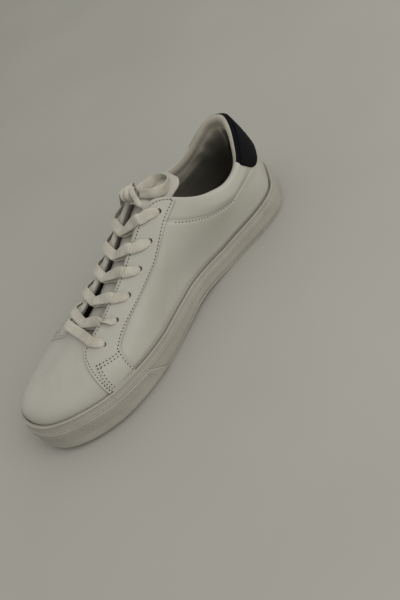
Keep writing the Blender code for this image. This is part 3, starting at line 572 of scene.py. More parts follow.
def wovenMaterial(name, look):
    # flat woven tape: lengthwise ribs crossed by a fine zigzag, laid out in the ribbon's own metres
    shown = {"Roughness": 0.85, "Specular IOR Level": 0.15, "Sheen Weight": look["sheen"]}
    material, tree, shader = newMaterial(name, shown)
    place = node(tree, "ShaderNodeTexCoord").outputs["UV"]
    apart = node(tree, "ShaderNodeSeparateXYZ", Vector=place)
    across, along = apart.outputs["X"], apart.outputs["Y"]
    rib = maths(tree, "SINE", maths(tree, "MULTIPLY", across, 2 * math.pi / look["ribs"]))
    tilt = maths(tree, "PINGPONG", across, look["ribs"])
    threads = [maths(tree, "MULTIPLY", part, 2 * math.pi / look["zigzag"]) for part in (along, tilt)]
    weave = maths(tree, "SINE", maths(tree, "ADD", *threads))
    height = maths(tree, "ADD", *(maths(tree, "MULTIPLY", part, 0.5) for part in (rib, weave)))
    worn = noise(tree, objectPlace(tree), 120, 3)
    base = blendColour(tree, reach(tree, worn, 0.3, 0.7), look["colour"], look["deep"])
    # painted shade: the low parts of the weave are coloured darker
    base = blendColour(tree, reach(tree, height, 0.3, -0.9, 0.0, 0.55), base, look["deep"])
    tree.links.new(base, shader.inputs["Base Color"])
    bump(tree, shader, ((height, 0.55, 0.00022), (noise(tree, objectPlace(tree), 3000, 2), 0.2, 0.0001)))
    return material


def plainDark(name, colour):
    material, tree, shader = newMaterial(name, {"Roughness": 0.9, "Specular IOR Level": 0.1})
    shade = noise(tree, objectPlace(tree), 400, 2)
    lighter = tuple(part * 1.6 for part in colour)
    tree.links.new(blendColour(tree, shade, colour, lighter), shader.inputs["Base Color"])
    return material


heelClothLook = {
    "colour": (0.0024, 0.0028, 0.0048),
    "deep": (0.0010, 0.0012, 0.0022),
    "ribs": 0.0011,
    "zigzag": 0.0014,
    "sheen": 0.0,
}
threadLook = {
    "colour": (0.560, 0.535, 0.470),
    "deep": (0.430, 0.405, 0.345),
    "ribs": 0.0003,
    "zigzag": 0.0004,
    "sheen": 0.15,
}
laceLook = {
    "colour": (0.545, 0.525, 0.455),
    "deep": (0.390, 0.368, 0.300),
    "ribs": 0.0012,
    "zigzag": 0.0018,
    "sheen": 0.15,
}
# the tongue is the same leather as the upper, coloured darker as painted shade where it lies between the
# laces
shadedTongueLook = {**leatherLook, "colour": (0.410, 0.395, 0.345), "deep": (0.350, 0.335, 0.285)}
agletLook = {**leatherLook, "colour": (0.50, 0.48, 0.42), "grainScale": 2400, "roughness": (0.22, 0.34)}

leather = leatherMaterial("smoothLeather", leatherLook)
shadedTongueLeather = leatherMaterial("shadedTongueLeather", shadedTongueLook)
agletFilm = leatherMaterial("agletFilm", agletLook)
rubber = rubberMaterial("mouldedRubber", rubberLook)
lining = clothMaterial("knittedLining", clothLook)
heelCloth = wovenMaterial("heelCloth", heelClothLook)
thread = wovenMaterial("sewingThread", threadLook)
laceWeave = wovenMaterial("laceWeave", laceLook)
# painted shade: near-black blobs sit in the needle holes in place of the shade inside them
needleHole = plainDark("needleHole", (0.020, 0.017, 0.013))
print("materials made")


# meshes from grids of points
def newPiece(name, points, faces, uvs, materials, faceSlots=None):
    mesh = bpy.data.meshes.new(name)
    mesh.from_pydata(np.asarray(points).reshape(-1, 3).tolist(), [], faces)
    layer = mesh.uv_layers.new(name="UVMap")
    layer.data.foreach_set("uv", np.asarray(uvs, np.float32).ravel())
    for material in materials:
        mesh.materials.append(material)
    if faceSlots is not None:
        mesh.polygons.foreach_set("material_index", np.asarray(faceSlots, np.int32))
    mesh.shade_smooth()
    mesh.validate()
    piece = addObject(name, mesh)
    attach(piece, "root")
    return piece


def distances(points, axis):
    steps = np.linalg.norm(np.diff(points, axis=axis), axis=-1)
    start = np.zeros_like(np.take(steps, [0], axis=axis))
    return np.concatenate([start, np.cumsum(steps, axis=axis)], axis=axis)


def loft(name, rings, materials, closed=False, ringSlots=0):
    # closed sections, each a ring of equally many points; an open row of them gets flat caps
    rings = np.asarray(rings, float)
    count, size = rings.shape[:2]
    slotGrid = np.broadcast_to(ringSlots, (count, size))
    wrapped = np.concatenate([rings, rings[:, :1]], 1)
    if closed:
        wrapped = np.concatenate([wrapped, wrapped[:1]], 0)
    across = distances(wrapped, 1)
    middle = distances(wrapped, 0).mean(axis=1)
    faces, uvs, slots = [], [], []
    for i in range(count if closed else count - 1):
        here, there = i * size, (i + 1) % count * size
        for j in range(size):
            k = (j + 1) % size
            faces.append((here + j, here + k, there + k, there + j))
            uvs += [(across[a, b], middle[a]) for a, b in ((i, j), (i, j + 1), (i + 1, j + 1), (i + 1, j))]
            slots.append(slotGrid[i, j])
    capped = () if closed else (0, count - 1)
    for i in capped:
        start = i * size
        for j in range(size // 2 - 1):
            faces.append((start + j, start + j + 1, start + size - 2 - j, start + size - 1 - j))
            uvs += [(across[i, j], middle[i])] * 4
            slots.append(slotGrid[i, j])
    piece = newPiece(name, rings, faces, uvs, materials, slots)
    tidyMesh(piece.data)
    return piece


def tidyMesh(mesh):
    shape = bmesh.new()
    shape.from_mesh(mesh)
    bmesh.ops.remove_doubles(shape, verts=shape.verts, dist=2e-7)
    bmesh.ops.dissolve_degenerate(shape, edges=shape.edges, dist=1e-7)
    bmesh.ops.recalc_face_normals(shape, faces=shape.faces)
    shape.to_mesh(mesh)
    shape.free()
    mesh.shade_smooth()


edgeCrowding = 0.56
rowWeight = 25.0  # how much more a rise counts than a degree of bearing


def crowded(count):
    # shares from 0 to 1, closer together near both ends
    t = np.linspace(0, 1, count)
    return t - edgeCrowding * np.sin(2 * math.pi * t) / (2 * math.pi)


def alongEdge(rows, shares):
    # bearings and rises at shares of the way along an edge
    run = distances(rows * np.array([1.0, rowWeight]), 0)
    run = run / run[-1]
    return np.stack([np.interp(shares, run, column) for column in rows.T], -1)


def squareOff(value, power):
    # a cosine or sine squared off by a power under 1
    return np.sign(value) * np.abs(value) ** power


def smoothRun(rows, steps):
    # open Catmull-Rom run through rows of numbers
    rows = np.asarray(rows, float)
    padded = np.concatenate([[2 * rows[0] - rows[1]], rows, [2 * rows[-1] - rows[-2]]])
    samples = []
    for before, start, end, after in zip(padded, padded[1:], padded[2:], padded[3:]):
        for t in np.arange(steps) / steps:
            samples.append(
                start
                + (end - before) * t / 2
                + (2 * before - 5 * start + 4 * end - after) * t**2 / 2
                + (3 * start - before - 3 * end + after) * t**3 / 2
            )
    return np.array(samples + [rows[-1]])


# sole: insole, sidewall and toe bumper
solePiece = {
    "treadHeight": 0.0028,
    "coreHeight": 0.012,
    "gap": 0.0003,
    "insole": 0.0035,
    "insoleInset": 0.0062,
    "spineX": 0.0005,
    "spineEnds": (0.045, 0.036),
}
sidewall = {
    "thickness": 0.0033,
    "ridgeHeight": 0.0011,
    "ridgeProud": 0.0009,
    "ridgeRound": 0.00050,
    "joint": (126.0, 9.0, 0.00035),
    "stripHeight": 0.0062,
    "stripSetBack": 0.0007,
    "bead": 0.0009,
    "steps": 720,
}


def innerPoint(bearing, inset, share, height):
    toe, heel = solePiece["spineEnds"]
    y = np.clip(edgeY(bearing), toe - length / 2, length / 2 - heel)
    spine = np.stack([np.full_like(y, solePiece["spineX"]), y], -1)
    leant = inset + leanIn(edgeY(bearing), height)
    plan = spine * (1 - share) + soleEdge(bearing, leant)[0] * share
    return np.concatenate([plan, (ground(plan[..., 1]) + height)[..., None]], -1)


def bandTop(y):
    return sideHeight(y) - sidewall["stripHeight"]


def sidewallRings(bearing, profile):
    # profile rows: inset, share of the band's top, share of the full height, extra height
    y = edgeY(bearing)
    columns = [
        solePoint(bearing, inset, band * bandTop(y) + full * sideHeight(y) + extra)
        for inset, band, full, extra in profile
    ]
    return np.stack(columns, -2)


def arcProfile(centreInset, centreExtra, radius, start, end, steps, band, full):
    # part of a rounded edge, as profile rows; angle 0 points outwards and 90 up
    return [
        (centreInset - radius * math.cos(a), band, full, centreExtra + radius * math.sin(a))
        for a in np.radians(np.linspace(start, end, steps))
    ]


def makeInsole():
    bearing = np.arange(0, 360, 2.0)
    low = solePiece["coreHeight"] + solePiece["gap"]
    high = low + solePiece["insole"]
    inset = solePiece["insoleInset"]
    rows = [(inset + 0.0004, share, low) for share in (0.0, 0.5, 1.0)]
    rows += [(inset, 1.0, low + 0.0008), (inset, 1.0, high + 0.0004), (inset + 0.0008, 1.0, high + 0.0008)]
    rows += [(inset + 0.003, 1.0, high + 0.0005)]
    rows += [(inset + 0.004, share, high - 0.0001 + 0.0001 * share) for share in np.linspace(0.95, 0.0, 12)]
    rings = np.stack([innerPoint(bearing, *row) for row in rows], 1)
    count, size = rings.shape[:2]
    faces, uvs = [], []
    for i in range(count):
        for j in range(size - 1):
            here, there = i * size, (i + 1) % count * size
            quad = (here + j, here + j + 1, there + j + 1, there + j)
            faces.append(quad)
            uvs += [tuple(rings.reshape(-1, 3)[corner][:2]) for corner in quad]
    piece = newPiece("insole_sock", rings, faces, uvs, [lining])
    tidyMesh(piece.data)
    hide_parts("insole")


def makeSidewall():
    base = solePiece["treadHeight"] + solePiece["gap"]
    thick, ridge, proud = sidewall["thickness"], sidewall["ridgeHeight"], sidewall["ridgeProud"]
    back, bend, bead = sidewall["stripSetBack"], sidewall["ridgeRound"], sidewall["bead"]
    bearing = np.arange(sidewall["steps"]) * 360.0 / sidewall["steps"]
    band = [(thick, 0, 0, base)]
    band += arcProfile(0.0008, base + 0.0008, 0.0008, -90, 0, 5, 0, 0)
    band += [(0.0, 0.35, 0, base * 0.65), (0.0, 0.7, 0, base * 0.3)]
    band += [(0.0, 1, 0, -ridge - 0.0006), (-0.00005, 1, 0, -ridge - 0.0002)]
    band += arcProfile(bend - proud, bend - ridge, bend, -60, 0, 4, 1, 0)
    band += arcProfile(bend - proud, -0.0001 - bend, bend, 0, 90, 5, 1, 0)
    band += [(0.0012, 1, 0, -0.0001), (thick, 1, 0, -0.0001)]
    strip = [(thick, 1, 0, 0.0001), (0.0004, 1, 0, 0.0001), (0.00012, 1, 0, 0.00018)]
    strip += [(back - 0.00035, 1, 0, 0.0005), (back - 0.0001, 1, 0, 0.0010), (back, 1, 0, 0.0017)]
    strip += [(back, 0.55, 0.45, 0.0), (back, 0, 1, -0.0032), (back + 0.0002, 0, 1, -0.0026)]
    strip += arcProfile(back + bead - 0.00015, -bead, bead, -35, 120, 9, 0, 1)
    strip += [(thick, 0, 1, -0.0004)]
    for name, profile in (("foxing_band_wall", band), ("foxing_strip_wall", strip)):
        rings = sidewallRings(bearing, profile)
        if "strip" in name:
            # the strip's two ends lap where the quarter meets the sole
            _, outward = soleEdge(bearing)
            start, run, proud = sidewall["joint"]
            lap = proud * np.clip((start - bearing) / 0.25, 0, 1) * smoothStep((bearing - start + run) / run)
            rings[..., :2] += (outward * lap[:, None])[:, None]
        piece = loft(name, rings, [rubber], closed=True)
        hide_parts(name.replace("_wall", ""))


bumper = {
    "thickness": 0.0013,
    "bearings": (111.5, 246.0),
    "endSlant": 5.0,
    "slantFade": 16.0,
    "rows": 44,
    "step": 0.11,
    "pitch": 0.0021,
    "relief": 0.00055,
    "ribSlope": 1.1,
    "ribRun": 0.030,
    "smoothBelow": 0.34,
    "lip": 0.00035,
}


def makeBumper():
    # second layer of rubber over the toe: ribs at its ends that turn into small diamonds in front
    start, end = bumper["bearings"]
    bearings = np.arange(start, end + 0.01, bumper["step"])
    fading = [np.clip(1 - gap / bumper["slantFade"], 0, 1) for gap in (bearings - start, end - bearings)]
    slant = bumper["endSlant"] * (fading[0] - fading[1])
    inside = -0.0001
    outside = inside - bumper["thickness"]
    low = solePiece["treadHeight"] + solePiece["gap"]
    top = -sidewall["ridgeHeight"] - 0.0001
    profile = [(inside, 0, low), (inside, 1, top - 0.0002)]
    profile += [(inside - 0.0005, 1, top - 0.0002), (outside + 0.0003, 1, top - 0.0004)]
    face = slice(len(profile), len(profile) + bumper["rows"])
    falls = np.linspace(0, 1, bumper["rows"])
    profile += [(outside, 1 - t, (top - 0.0010) * (1 - t) + (low + 0.0007) * t) for t in falls]
    profile += [(outside + 0.0002, 0, low + 0.0002), (outside + 0.0007, 0, low)]
    columns = []
    for inset, share, extra in profile:
        bearing = bearings - slant * (1 - share)
        columns.append(solePoint(bearing, inset, share * bandTop(edgeY(bearing)) + extra))
    points = np.stack(columns, 1)
    run = distances(points[:, 10:11], 0)
    rise = distances(points[:, face], 1)
    fromEnd = np.minimum(run, run[-1:] - run)
    side = np.where(run < run[-1:] / 2, 1.0, -1.0)
    waves = 2 * math.pi / bumper["pitch"]
    across = side * rise * bumper["ribSlope"]
    ribs = np.cos(waves * (run + across))
    diamonds = ribs * 0.6 + 0.6 * np.cos(waves * (run - across)) - 0.1
    toDiamonds = smoothStep((fromEnd - bumper["ribRun"] * 0.5) / bumper["ribRun"])
    pattern = ribs * (1 - toDiamonds) + diamonds * toDiamonds
    share = rise / rise[:, -1:]
    edge = np.clip(rise / 0.0010, 0, 1) * smoothStep((1 - bumper["smoothBelow"] - share) / 0.10)
    ends = np.clip((fromEnd - 0.0012) / 0.002, 0, 1)
    lip = bumper["lip"] * bell((fromEnd - 0.0006) / 0.0005)
    _, outward = soleEdge(bearings, 0.0)
    out = np.concatenate([outward, np.zeros((len(bearings), 1))], 1)[:, None]
    points[:, face] += out * (bumper["relief"] * pattern * edge * ends + lip)[..., None]
    piece = loft("toe_bumper_skin", points, [rubber])
    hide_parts("toe_bumper")


makeInsole()
makeSidewall()
makeBumper()
tread = frame["nodes"]["outsole"]
for slot in tread.material_slots:
    slot.material = rubber
print("sole made")


# upper: one shell of leather outside and cloth inside, rolled over at the rim
upperPiece = {
    "columns": 720,
    "outerRows": 64,
    "innerRows": 30,
    "crestSteps": 15,
    "clothSteps": 5,
    "liningFrom": 84,
    "cutEdge": 0.45,
    "plyGroove": 0.09,
    "plyPlaces": (68, 112),
    "plyWidth": 7,
    "cutFlatness": 0.45,
    "flatBand": 0.0010,
    "bandFrom": 0.905,
    "bandEdge": 0.012,
}
eyelets = {
    "radius": 0.0020,
    "sides": 20,
    "pegLength": 0.016,
    "first": 0.0861,
    "pitch": 0.0196,
    "rises": (0.730, 0.775, 0.790, 0.800, 0.810, 0.905),
}
# bearing, half width, depth and lean of the folds in the lining behind the heel
foldRows = (
    (-58, 7, 0.0016, 26),
    (-40, 4, 0.0022, 18),
    (-26, 5, 0.0014, 14),
    (-9, 2.4, 0.0024, -22),
    (3, 4, 0.0012, 8),
    (16, 3, 0.0018, 20),
    (30, 6, 0.0014, -10),
    (48, 8, 0.0012, -16),
)


def liningFolds(bearing, rise):
    off = (np.asarray(bearing) + 180) % 360 - 180
    deep = smoothStep((rise - 0.15) / 0.30) * smoothStep((0.95 - rise) / 0.14)
    folds = 0.0
    for centre, width, depth, lean in foldRows:
        folds = folds + depth * bell((off - centre - lean * (0.8 - rise)) / width)
    return folds * deep


def wallDepth(bearing, rise):
    # leather, lap and the collar's foam; at the heel a flat band runs round below the rim
    foam = upperForm["collarPad"] * smoothStep((rise - upperForm["foamFrom"]) / upperForm["foamRun"])
    band = upperPiece["flatBand"] * smoothStep((rise - upperPiece["bandFrom"]) / upperPiece["bandEdge"])
    return upperForm["wall"] + upperForm["lap"] + collarShare(bearing) * (foam - band)


def makeUpper():
    size = upperPiece["columns"]
    bearing = np.arange(size) * 360.0 / size
    outerRises = np.linspace(0, 1, upperPiece["outerRows"])
    innerRises = np.linspace(1, 0, upperPiece["innerRows"]) ** 0.8
    outside = [skin(bearing, rise) for rise in outerRises]
    inside = []
    for rise in innerRises:
        depth = wallDepth(bearing, rise) + liningFolds(bearing, rise)
        inside.append(skin(bearing, np.full_like(bearing, rise), -depth))
    middle = (outside[-1] + inside[0]) / 2
    across = outside[-1] - middle
    upward = unit(bareSkin(bearing, 1.0) - bareSkin(bearing, 0.97))
    radius = np.linalg.norm(across, axis=-1, keepdims=True)
    # padded and round along the collar, a cut edge with its plies showing along the throat
    cut = (1 - collarShare(bearing))[:, None]
    power = 1 - cut * (1 - upperPiece["cutEdge"])
    crest, crestSlots = [], []
    for angle in np.linspace(0, 180, upperPiece["crestSteps"] + 2)[1:-1]:
        a = math.radians(angle)
        grooves = sum(bell((angle - place) / upperPiece["plyWidth"]) for place in upperPiece["plyPlaces"])
        ply = 1 - cut * upperPiece["plyGroove"] * grooves
        flat = squareOff(math.cos(a), power)
        tall = math.sin(a) ** power * (1 - upperPiece["cutFlatness"] * cut)
        crest.append(middle + across * flat * ply + upward * radius * tall * ply)
        crestSlots.append(1 if angle >= upperPiece["liningFrom"] else 0)

    def skirt(point):
        below = point.copy()
        below[..., 2] = ground(point[..., 1]) + solePiece["coreHeight"] + solePiece["gap"]
        _, outward = soleEdge(bearing)
        below[..., :2] += outward * leanIn(edgeY(bearing), point[..., 2] - below[..., 2])[..., None]
        return below

    columns = [skirt(outside[0])] + outside + crest + inside + [skirt(inside[-1])]
    slots = np.array([0] * (1 + len(outside)) + crestSlots + [1] * (len(inside) + 1))
    slots = np.repeat(slots[None], size, 0)
    # behind the heel tab the cloth comes right over the rim
    behind = offHeel(bearing) < heelTab["span"]
    onRim = 1 + len(outside)
    slots[np.ix_(behind, range(onRim, len(columns)))] = 1
    slots[np.ix_(behind, range(onRim - 1, onRim + upperPiece["clothSteps"]))] = 2
    materials = [leather, lining, heelCloth]
    piece = loft("upper_shell", np.stack(columns, 1), materials, closed=True, ringSlots=slots)
    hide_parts("upper")
    return piece


def sideBearing(fromToe, rise, side):
    scan = np.linspace(76.0, 128.0, 105)
    scan = scan if side > 0 else 360 - scan
    return float(np.interp(length / 2 - fromToe, -skin(scan, rise)[:, 1], scan))


def eyeletSeat(row, side):
    rise = eyelets["rises"][row]
    return sideBearing(eyelets["first"] + row * eyelets["pitch"], rise, side), rise


def makePegs():
    pegs = bmesh.new()
    sizes = {"segments": eyelets["sides"], "radius1": eyelets["radius"], "radius2": eyelets["radius"]}
    for side in (1, -1):
        for row in range(len(eyelets["rises"])):
            seat = eyeletSeat(row, side)
            made = bmesh.ops.create_cone(pegs, cap_ends=True, depth=eyelets["pegLength"], **sizes)["verts"]
            turn = Vector(skinNormal(*seat)).to_track_quat("Z", "Y").to_matrix().to_4x4()
            bmesh.ops.transform(pegs, matrix=Matrix.Translation(skin(*seat)) @ turn, verts=made)
    tool = addObject("eyeletPegs", meshFrom("eyeletPegs", pegs))
    tool.data.materials.append(needleHole)
    return tool


def punch(piece, tool):
    cutting = piece.modifiers.new("punch", "BOOLEAN")
    cutting.operation = "DIFFERENCE"
    cutting.solver = "EXACT"
    cutting.object = tool
    graph = bpy.context.evaluated_depsgraph_get()
    finished = bpy.data.meshes.new_from_object(piece.evaluated_get(graph))
    piece.modifiers.clear()
    piece.data = finished


# panels sewn over the upper: a grid of bearings and rises, thick, with folded edges
stitchPullWidth = 0.0007


def makePanel(name, grid, form, material, sides, seat=0.0):
    # sides name the edges that show: l and r at the ends of the rows, b and t below and above
    bearings, rises = grid
    flat = skin(bearings, rises)
    down, across = distances(flat, 0), distances(flat, 1)
    thick = form["thickness"]
    far = np.full(bearings.shape, 1.0)
    gaps = {"l": down, "r": down[-1:] - down, "b": across, "t": across[:, -1:] - across}
    for side in sides:
        far = np.minimum(far, gaps[side])
    t = np.clip(far / (thick * 0.75), 0, 1)
    lift = thick * np.sqrt(1 - (1 - t) ** 2)
    lift = lift + form["fold"] * bell((far - form["foldAt"]) / form["foldWidth"])
    lift = lift - form["pull"] * bell((far - form["stitchAt"]) / stitchPullWidth)
    above = skin(bearings, rises, seat + lift)
    below = skin(bearings, rises, seat - form["sink"])
    return loft(name, np.concatenate([below, above[:, ::-1]], 1), [material])


def betweenEdges(low, high, alongCount, acrossCount):
    # grid of bearings and rises between two edges, each a row of bearing and rise
    shares = crowded(alongCount)
    across = crowded(acrossCount)[None, :, None]
    grid = alongEdge(low, shares)[:, None] * (1 - across) + alongEdge(high, shares)[:, None] * across
    return grid[..., 0], grid[..., 1]


def onSide(bearings, sign):
    return bearings if sign > 0 else 360 - bearings


eyestay = {
    "thickness": 0.0015,
    "fold": 0.00035,
    "foldAt": 0.0012,
    "foldWidth": 0.0009,
    "pull": 0.00022,
    "stitchAt": 0.0026,
    "sink": 0.0002,
}
# bearing and rise of its rear edge and of the part under the patch, from the collar to the sole
eyestayRear = (
    (81.6, 0.990),
    (83.4, 0.90),
    (85.5, 0.80),
    (88.4, 0.695),
    (92.5, 0.61),
    (97.0, 0.612),
    (101.0, 0.61),
    (105.0, 0.59),
    (108.5, 0.555),
    (111.2, 0.500),
    (113.5, 0.430),
    (113.8, 0.22),
    (113.8, -0.03),
)
# its edge along the collar and the throat, round the front corner and down the quarter's front
eyestayFront = (
    (82.6, 0.994),
    (88.0, 0.994),
    (95.0, 0.994),
    (103.0, 0.994),
    (112.0, 0.994),
    (118.0, 0.994),
    (122.5, 0.992),
    (127.0, 0.975),
    (131.0, 0.945),
    (133.4, 0.880),
    (132.9, 0.80),
    (131.2, 0.70),
    (129.4, 0.55),
    (127.8, 0.38),
    (126.6, 0.19),
    (126.0, -0.03),
)
patch = {
    "thickness": 0.0008,
    "fold": 0.00012,
    "foldAt": 0.0009,
    "foldWidth": 0.0006,
    "pull": 0.00016,
    "stitchAt": 0.0013,
    "sink": 0.0004,
    "overlap": 0.0002,
}
# bearing and rise: upper rear, upper front, lower front, lower rear
patchCorners = ((114.2, 0.425), (126.2, 0.575), (124.3, -0.03), (113.9, -0.03))
heelTab = {
    "thickness": 0.0012,
    "fold": 0.0,
    "foldAt": 0.001,
    "foldWidth": 0.001,
    "pull": 0.0,
    "stitchAt": 0.002,
    "sink": 0.0002,
    "span": 47.5,
}
# bearing and rise of one half of the tab's lower edge, from the middle of the heel
heelTabHalf = (
    (0.0, 0.436),
    (10.0, 0.437),
    (19.0, 0.444),
    (26.0, 0.466),
    (31.0, 0.498),
    (35.0, 0.545),
    (38.0, 0.612),
    (40.5, 0.695),
    (44.0, 0.825),
    (46.4, 0.925),
    (47.6, 0.985),
)
bothSides = (("outer", 1), ("inner", -1))


def smoothEdge(rows):
    # fine points on a soft curve through an edge's corners
    rows = np.asarray(rows, float)
    fine = smoothRun(rows, 6)
    kernel = np.hanning(9)[1:-1]
    padded = np.concatenate([[fine[0]] * 3, fine, [fine[-1]] * 3])
    soft = [np.convolve(column, kernel / kernel.sum(), mode="valid") for column in padded.T]
    return np.stack(soft, -1)


def makeEyestays(tool):
    grid = betweenEdges(smoothEdge(eyestayRear), smoothEdge(eyestayFront), 190, 56)
    for side, sign in bothSides:
        panel = (onSide(grid[0], sign), grid[1])
        piece = makePanel(f"eyestay_{side}_leather", panel, eyestay, leather, "lbt")
        punch(piece, tool)
        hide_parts(f"eyestay_{side}")


def makePatches():
    corners = np.array(patchCorners)
    u, v = crowded(48)[:, None, None], crowded(56)[None, :, None]
    top = corners[0] * (1 - u) + corners[1] * u
    bottom = corners[3] * (1 - u) + corners[2] * u
    grid = bottom * (1 - v) + top * v
    seat = eyestay["thickness"] - patch["overlap"]
    for side, sign in bothSides:
        panel = (onSide(grid[..., 0], sign), grid[..., 1])
        piece = makePanel(f"patch_{side}_leather", panel, patch, leather, "lrt", seat)
        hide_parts(f"patch_{side}")


def makeHeelTab():
    half = [(-bearing, rise) for bearing, rise in heelTabHalf[:0:-1]]
    low = alongEdge(smoothEdge(half + list(heelTabHalf)), crowded(170))
    v = crowded(44)[None, :]
    rises = low[:, 1:2] * (1 - v) + v
    bearings = np.broadcast_to(low[:, :1], rises.shape)
    piece = makePanel("heel_tab_cloth", (bearings, rises), heelTab, heelCloth, "lrb")
    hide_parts("heel_tab")


# stitches: a thread between needle holes, whose shade is painted as dark blobs, along rows of bearing and
# rise
stitching = {
    "pitch": 0.0026,
    "thread": 0.00030,
    "threadShare": 0.62,
    "hole": 0.00050,
    "sink": 0.00010,
    "threadSides": 6,
    "holeSides": 8,
    "collarDrop": 0.016,
    "collarEnd": (83.4, 0.783),
    "rearAbove": 0.44,
    "throatAbove": 0.03,
    "patchGaps": (0.0012, 0.0034),
}


def ontoLeather(point, normal, surfaces):
    # the outermost leather below a point
    start = Vector(point + normal * 0.004)
    hits = [surface.ray_cast(start, Vector(-normal), 0.010) for surface in surfaces]
    hits = [hit for hit in hits if hit[0] is not None]
    return np.array(min(hits, key=lambda hit: hit[3])[0]) if hits else point


def stitchRow(name, row, surfaces):
    # row is bearing and rise; one thread capsule for each step and, between two, a dark blob painted as the
    # shade of a pricked hole
    fine = smoothRun(np.asarray(row, float), 8)
    normals = skinNormal(fine[:, 0], fine[:, 1])
    above = skin(fine[:, 0], fine[:, 1], 0.001)
    points = np.array([ontoLeather(*pair, surfaces) for pair in zip(above, normals)])
    run = distances(points, 0)
    count = max(2, int(run[-1] / stitching["pitch"]))
    verts, faces, slots = [], [], []

    def at(place, table):
        return np.array([np.interp(place, run, column) for column in table.T])

    def blob(centre, ahead, normal, sizes, sides, slot):
        # closed ellipsoid of rings round the ahead direction
        aside = np.cross(normal, ahead)
        start = len(verts)
        turns = np.linspace(0, math.pi, 5)
        verts.append(centre - ahead * sizes[0])
        for turn in turns[1:-1]:
            for k in range(sides):
                a = 2 * math.pi * k / sides
                ring = aside * math.cos(a) * sizes[1] + normal * math.sin(a) * sizes[2]
                verts.append(centre - ahead * sizes[0] * math.cos(turn) + ring * math.sin(turn) ** 0.6)
        verts.append(centre + ahead * sizes[0])
        last = len(verts) - 1
        for k in range(sides):
            after = (k + 1) % sides
            faces.append((start, start + 1 + after, start + 1 + k))
            slots.append(slot)
            for ring in range(len(turns) - 3):
                low, high = start + 1 + ring * sides, start + 1 + (ring + 1) * sides
                faces.append((low + k, low + after, high + after, high + k))
                slots.append(slot)
            faces.append((last, last - sides + k, last - sides + after))
            slots.append(slot)

    step = run[-1] / count
    hole, thick = stitching["hole"], stitching["thread"]

    def seat(number, reach):
        # a point on the leather, the direction of the row and the normal there
        middle = number * step
        normal = unit(at(middle, normals))
        ahead = unit(at(middle + reach, points) - at(middle - reach, points))
        return ontoLeather(at(middle, points), normal, surfaces), ahead, normal

    for number in range(count + 1):
        centre, ahead, normal = seat(number, step / 8)
        # painted shade: a dark blob for the needle hole
        sizes = (hole * 1.15, hole, hole * 0.5)
        blob(centre - normal * hole * 0.1, ahead, normal, sizes, stitching["holeSides"], 1)
        if number < count:
            centre, ahead, normal = seat(number + 0.5, step / 4)
            sizes = (step * stitching["threadShare"] / 2, thick, thick)
            blob(centre - normal * stitching["sink"], ahead, normal, sizes, stitching["threadSides"], 0)
    uvs = [tuple(verts[corner][:2]) for face in faces for corner in face]
    piece = newPiece(name, verts, faces, uvs, [thread, needleHole], slots)
    tidyMesh(piece.data)


def inward(edge, gap, target):
    # the same edge moved towards a target row by a distance on the leather, in metres
    edge, target = np.asarray(edge, float), np.asarray(target, float)
    here, there = skin(edge[:, 0], edge[:, 1]), skin(target[:, 0], target[:, 1])
    share = gap / np.linalg.norm(there - here, axis=-1, keepdims=True)
    return edge + (target - edge) * share


def makeStitches():
    shares = np.linspace(0, 1, 60)
    rear, front = (alongEdge(smoothEdge(edge), shares) for edge in (eyestayRear, eyestayFront))
    rearRow = inward(rear, eyestay["stitchAt"], front)
    frontRow = inward(front, eyestay["stitchAt"], rear)
    corners = np.array(patchCorners)
    collar = [(bearing, rise) for bearing, rise, pull in collarLine if pull > 0.8]
    collar = np.array([*collar[:-1], stitching["collarEnd"]]) - (0.0, stitching["collarDrop"])
    graph = bpy.context.evaluated_depsgraph_get()
    for side, sign in bothSides:
        sewn = [shell] + [bpy.data.objects[f"{panel}_{side}_leather"] for panel in ("eyestay", "patch")]
        surfaces = [BVHTree.FromObject(piece, graph) for piece in sewn]

        def row(label, rows):
            rows = np.array(rows, float)
            rows[:, 0] = onSide(rows[:, 0], sign)
            stitchRow(f"stitches_{label}_{side}", rows, surfaces)

        row("rear", rearRow[rearRow[:, 1] > stitching["rearAbove"]])
        row("throat", frontRow[frontRow[:, 1] > stitching["throatAbove"]])
        row("collar", collar)
        for number, gap in enumerate(stitching["patchGaps"], 1):
            top = inward(corners[:2], gap, corners[[3, 2]])
            row(f"patch_top_{number}", np.linspace(top[0] + (0.6, 0.0), top[1] - (0.7, 0.0), 6))
            ahead = inward(corners[[1, 2]], gap, corners[[0, 3]])
            row(f"patch_front_{number}", np.linspace(ahead[0] - (0.0, 0.03), ahead[1] + (0.0, 0.07), 6))
        behind = inward(corners[[0, 3]], stitching["patchGaps"][0], corners[[1, 2]])
        row("patch_rear", np.linspace(behind[0] - (0.0, 0.02), behind[1] + (0.0, 0.07), 6))


shell = makeUpper()
pegs = makePegs()
punch(shell, pegs)
makeEyestays(pegs)
makePatches()
makeHeelTab()
bpy.data.objects.remove(pegs, do_unlink=True)
makeStitches()
print("upper made")

# tongue: a padded strip, leather above and cloth below, with a folded top edge
tonguePiece = {
    "bend": 0.022,
    "x": 0.002,
    "across": 56,
    "stations": 150,
    "edgeThinning": 0.5,
    "edgeRound": 0.46,
    "topRoll": 0.0022,
    "corner": 0.0095,
    "tip": 0.0020,
    "thinnest": 0.00012,
    "foldWidth": 0.0022,
}
# from toe, crown, half width, thickness
tongueRows = (
    (0.0640, 0.0414, 0.0140, 0.0016),
    (0.0720, 0.0434, 0.0150, 0.0018),
    (0.0800, 0.0458, 0.0160, 0.0020),
    (0.1055, 0.0530, 0.0165, 0.0024),
    (0.1360, 0.0640, 0.0165, 0.0030),
    (0.1665, 0.0785, 0.0165, 0.0036),
    (0.1875, 0.0868, 0.0170, 0.0042),
    (0.2000, 0.0885, 0.0172, 0.0044),
    (0.2110, 0.0878, 0.0155, 0.0040),
    (0.2165, 0.0866, 0.0110, 0.0030),
)


# from toe and depth of the soft folds where the foot bends it
tongueFolds = (
    (0.112, 0.0005),
    (0.129, 0.0004),
    (0.149, 0.0005),
    (0.170, 0.0004),
)


